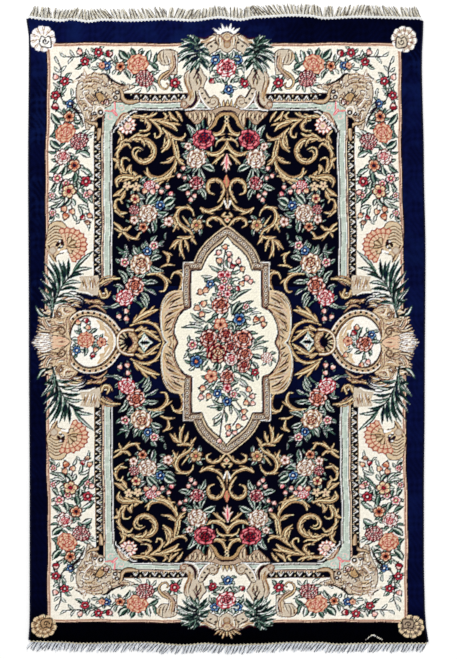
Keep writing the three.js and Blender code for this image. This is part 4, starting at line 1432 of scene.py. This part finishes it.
def buildSelvedge(name, side, line):
    low, high = line[0][0], line[0][-1]
    o, _, u, v = newGrid(name, selvedge["around"], int((high - low) / selvedge["step"]), False)
    angle = u * 2 * pi
    y = low + v * (high - low)
    slant = y + selvedge["slant"] * np.cos(angle) * side
    sunk = selvedge["notch"] / 2 * (1 - np.abs(np.sin(pi * slant / selvedge["wrapPitch"])) ** 0.6)
    wide, tall = selvedge["width"] / 2 - sunk, selvedge["height"] / 2 - sunk
    x = np.interp(y, *line) + side * (selvedge["gap"] + wide) + wide * np.cos(angle)
    return finishMesh(o, x, y, tall + tall * np.sin(angle), 50, True)


selvedges = [buildSelvedge("selvedgeLeft", -1, leftLine), buildSelvedge("selvedgeRight", 1, rightLine)]
print("sides built")

# The ends: a narrow woven strip, and the warp ends that come out of it.
# The shaded colour of each end is the nearly black tint of its low threads: painted shadow between the
# bundles.
ends = {
    "head": {
        "line": headLine, "out": 1, "band": 0.0135, "reach": [0.037, 0.043], "lean": -0.1, "drift": 0.5,
        "tangle": 0.004, "tints": [(1, 0.99, 0.94), (1, 0.95, 0.82), (0.9, 0.8, 0.58)],
        "shaded": (0.12, 0.105, 0.085), "seed": 3,
    },
    "foot": {
        "line": footLine, "out": -1, "band": 0.0085, "reach": [0.030, 0.036], "lean": -0.62, "drift": 0.16,
        "tangle": 0.003, "tints": [(1, 1, 1), (1, 1, 1), (0.86, 0.89, 0.98)],
        "shaded": (0.06, 0.065, 0.09), "seed": 8,
    },
}
band = {
    "columns": 300, "rows": 6, "gap": 0.0003, "height": 0.0026, "rib": 0.28, "edgeHeight": 0.0016,
    "unevenness": 0.0005, "grain": 0.004,
}
bundle = {
    "pitch": 0.0108, "pale": 5, "shaded": 3, "points": 8, "radius": 0.00082, "spacing": 0.00096,
    "fromCorner": 0.003, "pastSide": 0.004, "inBand": 0.001, "leanSpread": 0.09, "placeSpread": 0.0004,
    "lengths": (0.86, 1.04), "shadedLengths": (0.7, 0.95), "curl": 0.0012, "paleHeight": 0.0019,
    "paleStack": 0.001, "shadedHeight": 0.001, "heights": (0.0009, 0.003), "taper": 0.3,
}
xLimits = (leftLine[1].min() - bundle["pastSide"], rightLine[1].max() + bundle["pastSide"])


def buildBand(name, end):
    o, top, u, v = newGrid(name, band["columns"], band["rows"])
    low, high = end["line"][0][0], end["line"][0][-1]
    x = low + u * (high - low)
    y = np.interp(x, *end["line"]) + end["out"] * (band["gap"] + v * end["band"])
    z = band["height"] * (1 - band["rib"] + band["rib"] * np.abs(np.sin(pi * v * 3)))
    z -= band["unevenness"] * flecks(x, y, band["grain"])
    z = np.where((v < 0.01) | (v > 0.99), band["edgeHeight"], z)
    z[top:] = 0
    setColours(o, np.ones((len(x), 3)))
    return finishMesh(o, x, y, z, 50)


def buildThreads(name, end):
    # Each bundle has pale threads in its middle and nearly black shaded ones lower down beside it: painted
    # shadow in the gaps between bundles.
    rng = np.random.default_rng(end["seed"])
    low, high = end["line"][0][0] + bundle["fromCorner"], end["line"][0][-1] - bundle["fromCorner"]
    count, pale, shaded = int((high - low) / bundle["pitch"]), bundle["pale"], bundle["shaded"]
    curve = bpy.data.curves.new(name, "CURVE")
    curve.dimensions = "3D"
    curve.bevel_depth = bundle["radius"]
    curve.bevel_resolution = 0
    curve.use_fill_caps = True
    share = np.linspace(0, 1, bundle["points"])
    tints = []
    for i in range(count):
        at = low + (i + 0.5) * (high - low) / count
        drift = end["drift"] * (np.sin(at * 11 + end["seed"]) + 0.6 * np.sin(at * 29))
        lean = end["lean"] + drift + rng.normal(0, bundle["leanSpread"])
        long = rng.uniform(*end["reach"])
        tangle = end["tangle"] * rng.normal(0, 1)
        for k in range(pale + shaded):
            isPale = k < pale
            aside = 0 if isPale else bundle["pitch"] / 2
            off = aside + (k - pale // 2 if isPale else k - pale - shaded // 2) * bundle["spacing"]
            length = long * rng.uniform(*bundle["lengths"])
            length *= 1 if isPale else rng.uniform(*bundle["shadedLengths"])
            start = at + off + rng.normal(0, bundle["placeSpread"])
            phase, twist = rng.uniform(0, 6.3), rng.uniform(0.6, 1.4)
            sway = (tangle + 0.35 * end["tangle"] * rng.normal(0, 1)) * share**1.5
            curl = bundle["curl"] * np.sin(phase + share * 7 * twist) * np.clip(share * 6, 0, 1)
            x = np.clip(start + lean * length * share + sway + curl, *xLimits)
            reached = end["band"] - bundle["inBand"] + length * share
            y = np.interp(start, *end["line"]) + end["out"] * reached
            z = bundle["shadedHeight"]
            if isPale:
                z = bundle["paleHeight"] + bundle["paleStack"] * rng.uniform(0, 1)
            z = np.clip(z * (1 - 0.2 * share), *bundle["heights"])
            spline = curve.splines.new("POLY")
            spline.points.add(len(share) - 1)
            spline.points.foreach_set("co", np.stack([x, y, z, np.ones(len(share))], 1).ravel())
            spline.points.foreach_set("radius", 1 - bundle["taper"] * share)
            # White at the root, as the strip is, and tinted further out; the shaded threads take their nearly
            # black tint all along, as painted shadow.
            tint = end["tints"][min(2, int(rng.exponential(0.9)))] if isPale else end["shaded"]
            tinted = np.clip(share * 3 - 1.1, 0, 1)[:, None] if isPale else np.ones((len(share), 1))
            tints.append((1 - tinted + tinted * np.array(tint)) * rng.uniform(0.86, 1))
    o = bpy.data.objects.new(name, curve)
    bpy.context.scene.collection.objects.link(o)
    bpy.ops.object.select_all(action="DESELECT")
    o.select_set(True)
    bpy.context.view_layer.objects.active = o
    bpy.ops.object.convert(target="MESH")
    o = bpy.context.active_object
    tints = np.concatenate(tints)
    setColours(o, np.repeat(tints, len(o.data.vertices) // len(tints), 0))
    return o


fringes = []
for name, end in ends.items():
    fringes += [buildBand("band" + name.title(), end), buildThreads("warps" + name.title(), end)]
    print(name, "fringe built", len(fringes[-1].data.polygons))


# Shared shader groups, and what their trees and the materials' are built with
def newGroup(name, inputs, outputs):
    group = bpy.data.node_groups.new(name, "ShaderNodeTree")
    for label, kind, value in inputs:
        socket = group.interface.new_socket(label, in_out="INPUT", socket_type="NodeSocket" + kind)
        if value is not None:
            socket.default_value = value
    for label, kind in outputs:
        group.interface.new_socket(label, in_out="OUTPUT", socket_type="NodeSocket" + kind)
    return group


def furnish(tree, kinds, links, **nodes):
    # Adds named nodes, each with its settings (small letters) and inputs, and links them.
    for name, (kind, values) in kinds.items():
        node = nodes[name] = tree.nodes.new(kind if kind.startswith("Node") else "ShaderNode" + kind)
        for key, value in values.items():
            if str(key).islower():
                setattr(node, key, value)
            else:
                node.inputs[key].default_value = value
    for link in links.split(","):
        (source, output), (target, socket) = (end.strip().split(".") for end in link.split(">"))
        output, socket = (int(key) if key.isdigit() else key for key in (output, socket))
        tree.links.new(nodes[source].outputs[output], nodes[target].inputs[socket])
    return tree


times = {"operation": "MULTIPLY"}
colourMix = {"data_type": "RGBA"}
groupEnds = dict(start=("NodeGroupInput", {}), end=("NodeGroupOutput", {}))


def tuftGroup():
    # The fine relief of cut tufts.
    # Its Shade output, lighter on the tufts and darker between them, goes into the wool colour: painted light
    # and shade.
    tree = newGroup("tuftRelief", [("Tuft Size", "Float", 0.003), ("Depth", "Float", 0.5)],
                    [("Normal", "Vector"), ("Shade", "Float")])
    kinds = dict(
        place=("TexCoord", {}), scale=("Math", {"operation": "DIVIDE", 0: 1.0}),
        cells=("TexVoronoi", {"Randomness": 0.7}), fuzz=("TexNoise", {"Detail": 3, "Roughness": 0.7}),
        finer=("Math", {**times, 1: 1.7}), mix=("Math", {"operation": "MULTIPLY_ADD", 1: -0.6}),
        bump=("Bump", {"Distance": 0.001}), **groupEnds,
    )
    return furnish(tree, kinds, """
        start.Tuft Size > scale.1, place.Object > cells.Vector, place.Object > fuzz.Vector,
        scale.0 > cells.Scale, scale.0 > finer.0, finer.0 > fuzz.Scale,
        cells.Distance > mix.0, fuzz.Fac > mix.2, mix.0 > bump.Height,
        start.Depth > bump.Strength, bump.Normal > end.Normal, mix.0 > end.Shade""")


def dyeGroup():
    # Dark wool turns brighter blue in soft patches, more so towards the head: partly uneven dye, partly
    # painted sheen where light catches the nap. The colour is also scaled by the tufts' Shade: painted shade
    # between the tufts and painted light on their tops.
    inputs = [
        ("Wool", "Color", None), ("Patch", "Color", (0.02, 0.05, 0.3, 1)), ("Patch Size", "Float", 9.0),
        ("Strength", "Float", 0.6), ("Shade", "Float", 0.0),
    ]
    tree = newGroup("unevenDyeAndLight", inputs, [("Colour", "Color")])
    kinds = dict(
        place=("TexCoord", {}), split=("SeparateXYZ", {}), tone=("RGBToBW", {}),
        dark=("MapRange", {"From Min": 0.03, "From Max": 0.009}),
        blue=("MapRange", {"From Min": 0.0024, "From Max": 0.0038}),
        patches=("TexNoise", {"Detail": 4, "Roughness": 0.62}),
        sharp=("MapRange", {"From Min": 0.46, "From Max": 0.66}),
        headward=("MapRange", {"From Min": -1.25, "From Max": 1.2, "To Min": 0.15, "To Max": 1.0}),
        navy=("Math", times), patchy=("Math", times), placed=("Math", times), amount=("Math", times),
        mix=("Mix", colourMix),
        # level scales the colour by the tufts' Shade: painted light and shade.
        level=("MapRange", {"From Min": -0.4, "From Max": 0.8, "To Min": 0.72, "To Max": 1.2}),
        shaded=("VectorMath", {"operation": "SCALE"}), **groupEnds,
    )
    return furnish(tree, kinds, """
        place.Object > split.0, place.Object > patches.Vector, start.Patch Size > patches.Scale,
        start.Wool > tone.0, tone.0 > dark.Value, tone.0 > blue.Value, patches.Fac > sharp.Value,
        split.Y > headward.Value, dark.0 > navy.0, blue.0 > navy.1, navy.0 > patchy.0, sharp.0 > patchy.1,
        patchy.0 > placed.0, headward.0 > placed.1, placed.0 > amount.0, start.Strength > amount.1,
        amount.0 > mix.0, start.Wool > mix.6, start.Patch > mix.7, start.Shade > level.Value,
        mix.2 > shaded.0, level.0 > shaded.Scale, shaded.0 > end.Colour""")


tufts, dyeAndLight = tuftGroup(), dyeGroup()


def newMaterial(name, values):
    material = bpy.data.materials.new(name)
    material.use_nodes = True
    shader = next(n for n in material.node_tree.nodes if n.type == "BSDF_PRINCIPLED")
    for key, value in values.items():
        shader.inputs[key].default_value = value
    return material, shader


def woolMaterial(name, tuftSize, depth, patch, strength, colour=None, sheen=0.0):
    # Wool from the painted attribute, or from one colour where a colour is given.
    material, shader = newMaterial(name, {
        "Roughness": 0.92, "Sheen Weight": sheen, "Sheen Roughness": 0.6, "Specular IOR Level": 0.01,
    })
    kinds = dict(
        relief=("Group", {"node_tree": tufts, "Tuft Size": tuftSize, "Depth": depth}),
        dyed=("Group", {"node_tree": dyeAndLight, "Patch": patch, "Strength": strength}),
    )
    # The tufts' Shade is painted into the wool colour as light and shade.
    links = "relief.Shade > dyed.Shade, dyed.Colour > shader.Base Color, relief.Normal > shader.Normal"
    if colour:
        kinds["dyed"][1]["Wool"] = colour
    else:
        kinds["source"] = ("VertexColor", {"layer_name": "wool"})
        links += ", source.Color > dyed.Wool"
    furnish(material.node_tree, kinds, links, shader=shader)
    return material


pileWool = woolMaterial("pileWool", 0.0028, 0.5, (0.004, 0.011, 0.07, 1), 0.7)
backWool = woolMaterial("backWool", 0.003, 0.4, (0.02, 0.03, 0.12, 1), 0.2)
sideWool = woolMaterial("sideWool", 0.0016, 0.5, (0.01, 0.02, 0.1, 1), 0.3, (0.004, 0.005, 0.02, 1), 0.05)


def cottonMaterial(name, light, dark, stain, stainShare):
    # Undyed warp, greyer and yellower in places, with spots of dirt here and there, times each thread's tint.
    # The dark low down between the threads is the shaded threads' tint: painted shadow.
    material, shader = newMaterial(name, {"Roughness": 0.9, "Specular IOR Level": 0.2})
    kinds = dict(
        place=("TexCoord", {}), relief=("Group", {"node_tree": tufts, "Tuft Size": 0.0012, "Depth": 0.4}),
        streak=("TexNoise", {"Scale": 130, "Detail": 3}),
        spots=("TexNoise", {"Scale": 34, "Detail": 4, "Roughness": 0.7}),
        ramp=("MapRange", {"From Min": 0.36, "From Max": 0.62}),
        stained=("MapRange", {"From Min": 0.62 - stainShare, "From Max": 0.72 - stainShare}),
        mix=("Mix", {**colourMix, 6: (*dark, 1), 7: (*light, 1)}),
        dirt=("Mix", {**colourMix, 7: (*stain, 1)}),
        tint=("VertexColor", {"layer_name": "wool"}),
        tinted=("Mix", {**colourMix, "blend_type": "MULTIPLY", 0: 1.0}),
    )
    furnish(material.node_tree, kinds, """
        place.Object > streak.Vector, place.Object > spots.Vector, streak.Fac > ramp.Value,
        spots.Fac > stained.Value, ramp.0 > mix.0, stained.0 > dirt.0, mix.2 > dirt.6,
        dirt.2 > tinted.6, tint.Color > tinted.7,
        tinted.2 > shader.Base Color, relief.Normal > shader.Normal""", shader=shader)
    return material


cottons = [
    # The strip and the warps of the head, then of the foot: light, dark, dirt, and how much of it there is
    cottonMaterial("headBandCotton", (0.92, 0.93, 0.93), (0.8, 0.8, 0.78), (0.5, 0.48, 0.4), 0.0),
    cottonMaterial("headCotton", (0.93, 0.92, 0.86), (0.74, 0.68, 0.54), (0.2, 0.15, 0.1), 0.07),
    cottonMaterial("footBandCotton", (0.85, 0.8, 0.6), (0.6, 0.52, 0.36), (0.35, 0.3, 0.25), 0.04),
    cottonMaterial("footCotton", (0.95, 0.98, 1), (0.8, 0.84, 0.92), (0.3, 0.28, 0.3), 0.03),
]


def finishPiece(o, material):
    o.data.materials.clear()
    o.data.materials.append(material)
    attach(o, "root")


for o in strips:
    finishPiece(o, pileWool)
finishPiece(knottedBack, backWool)
for o in selvedges:
    finishPiece(o, sideWool)
for o, cotton in zip(fringes, cottons):
    finishPiece(o, cotton)
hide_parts("pile_body")
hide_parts("selvedge_left")
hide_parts("selvedge_right")
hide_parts("fringe_head")
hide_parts("fringe_foot")

# The stage: a white floor under even light, seen from straight above.
bpy.ops.mesh.primitive_plane_add(size=14, location=(0, 0, -0.0004))
floor = bpy.context.active_object
floor.name = "floor"
floorPaint, _ = newMaterial("floorPaint", {
    "Base Color": (0.97, 0.97, 0.97, 1), "Roughness": 1.0, "Specular IOR Level": 0.0,
})
floor.data.materials.append(floorPaint)

world = bpy.data.worlds.new("softRoom")
world.use_nodes = True
world.node_tree.nodes["Background"].inputs["Color"].default_value = (1.0, 1.0, 1.0, 1)
world.node_tree.nodes["Background"].inputs["Strength"].default_value = 0.62
bpy.context.scene.world = world


def areaLight(name, place, tilt, turn, power):
    bpy.ops.object.light_add(type="AREA", location=place, rotation=(radians(tilt), 0, radians(turn)))
    lamp = bpy.context.active_object
    lamp.name = name
    lamp.data.size = 3.0
    lamp.data.energy = power


areaLight("headLamp", (-1.2, 4.2, 3.4), -52, 10, 150)
areaLight("footLamp", (1.5, -4.0, 4.2), 46, 12, 110)

bpy.ops.object.camera_add(location=(0.0040, 0.0, 7.03), rotation=(0, 0, 0))
camera = bpy.context.active_object
camera.data.lens = 100
camera.data.dof.use_dof = False
bpy.context.scene.camera = camera
bpy.context.scene.view_settings.view_transform = "Standard"

total = 0
for o in strips + [knottedBack] + selvedges + fringes:
    o.data.calc_loop_triangles()
    total += len(o.data.loop_triangles)
    print(o.name, len(o.data.loop_triangles))
print("triangles", total)
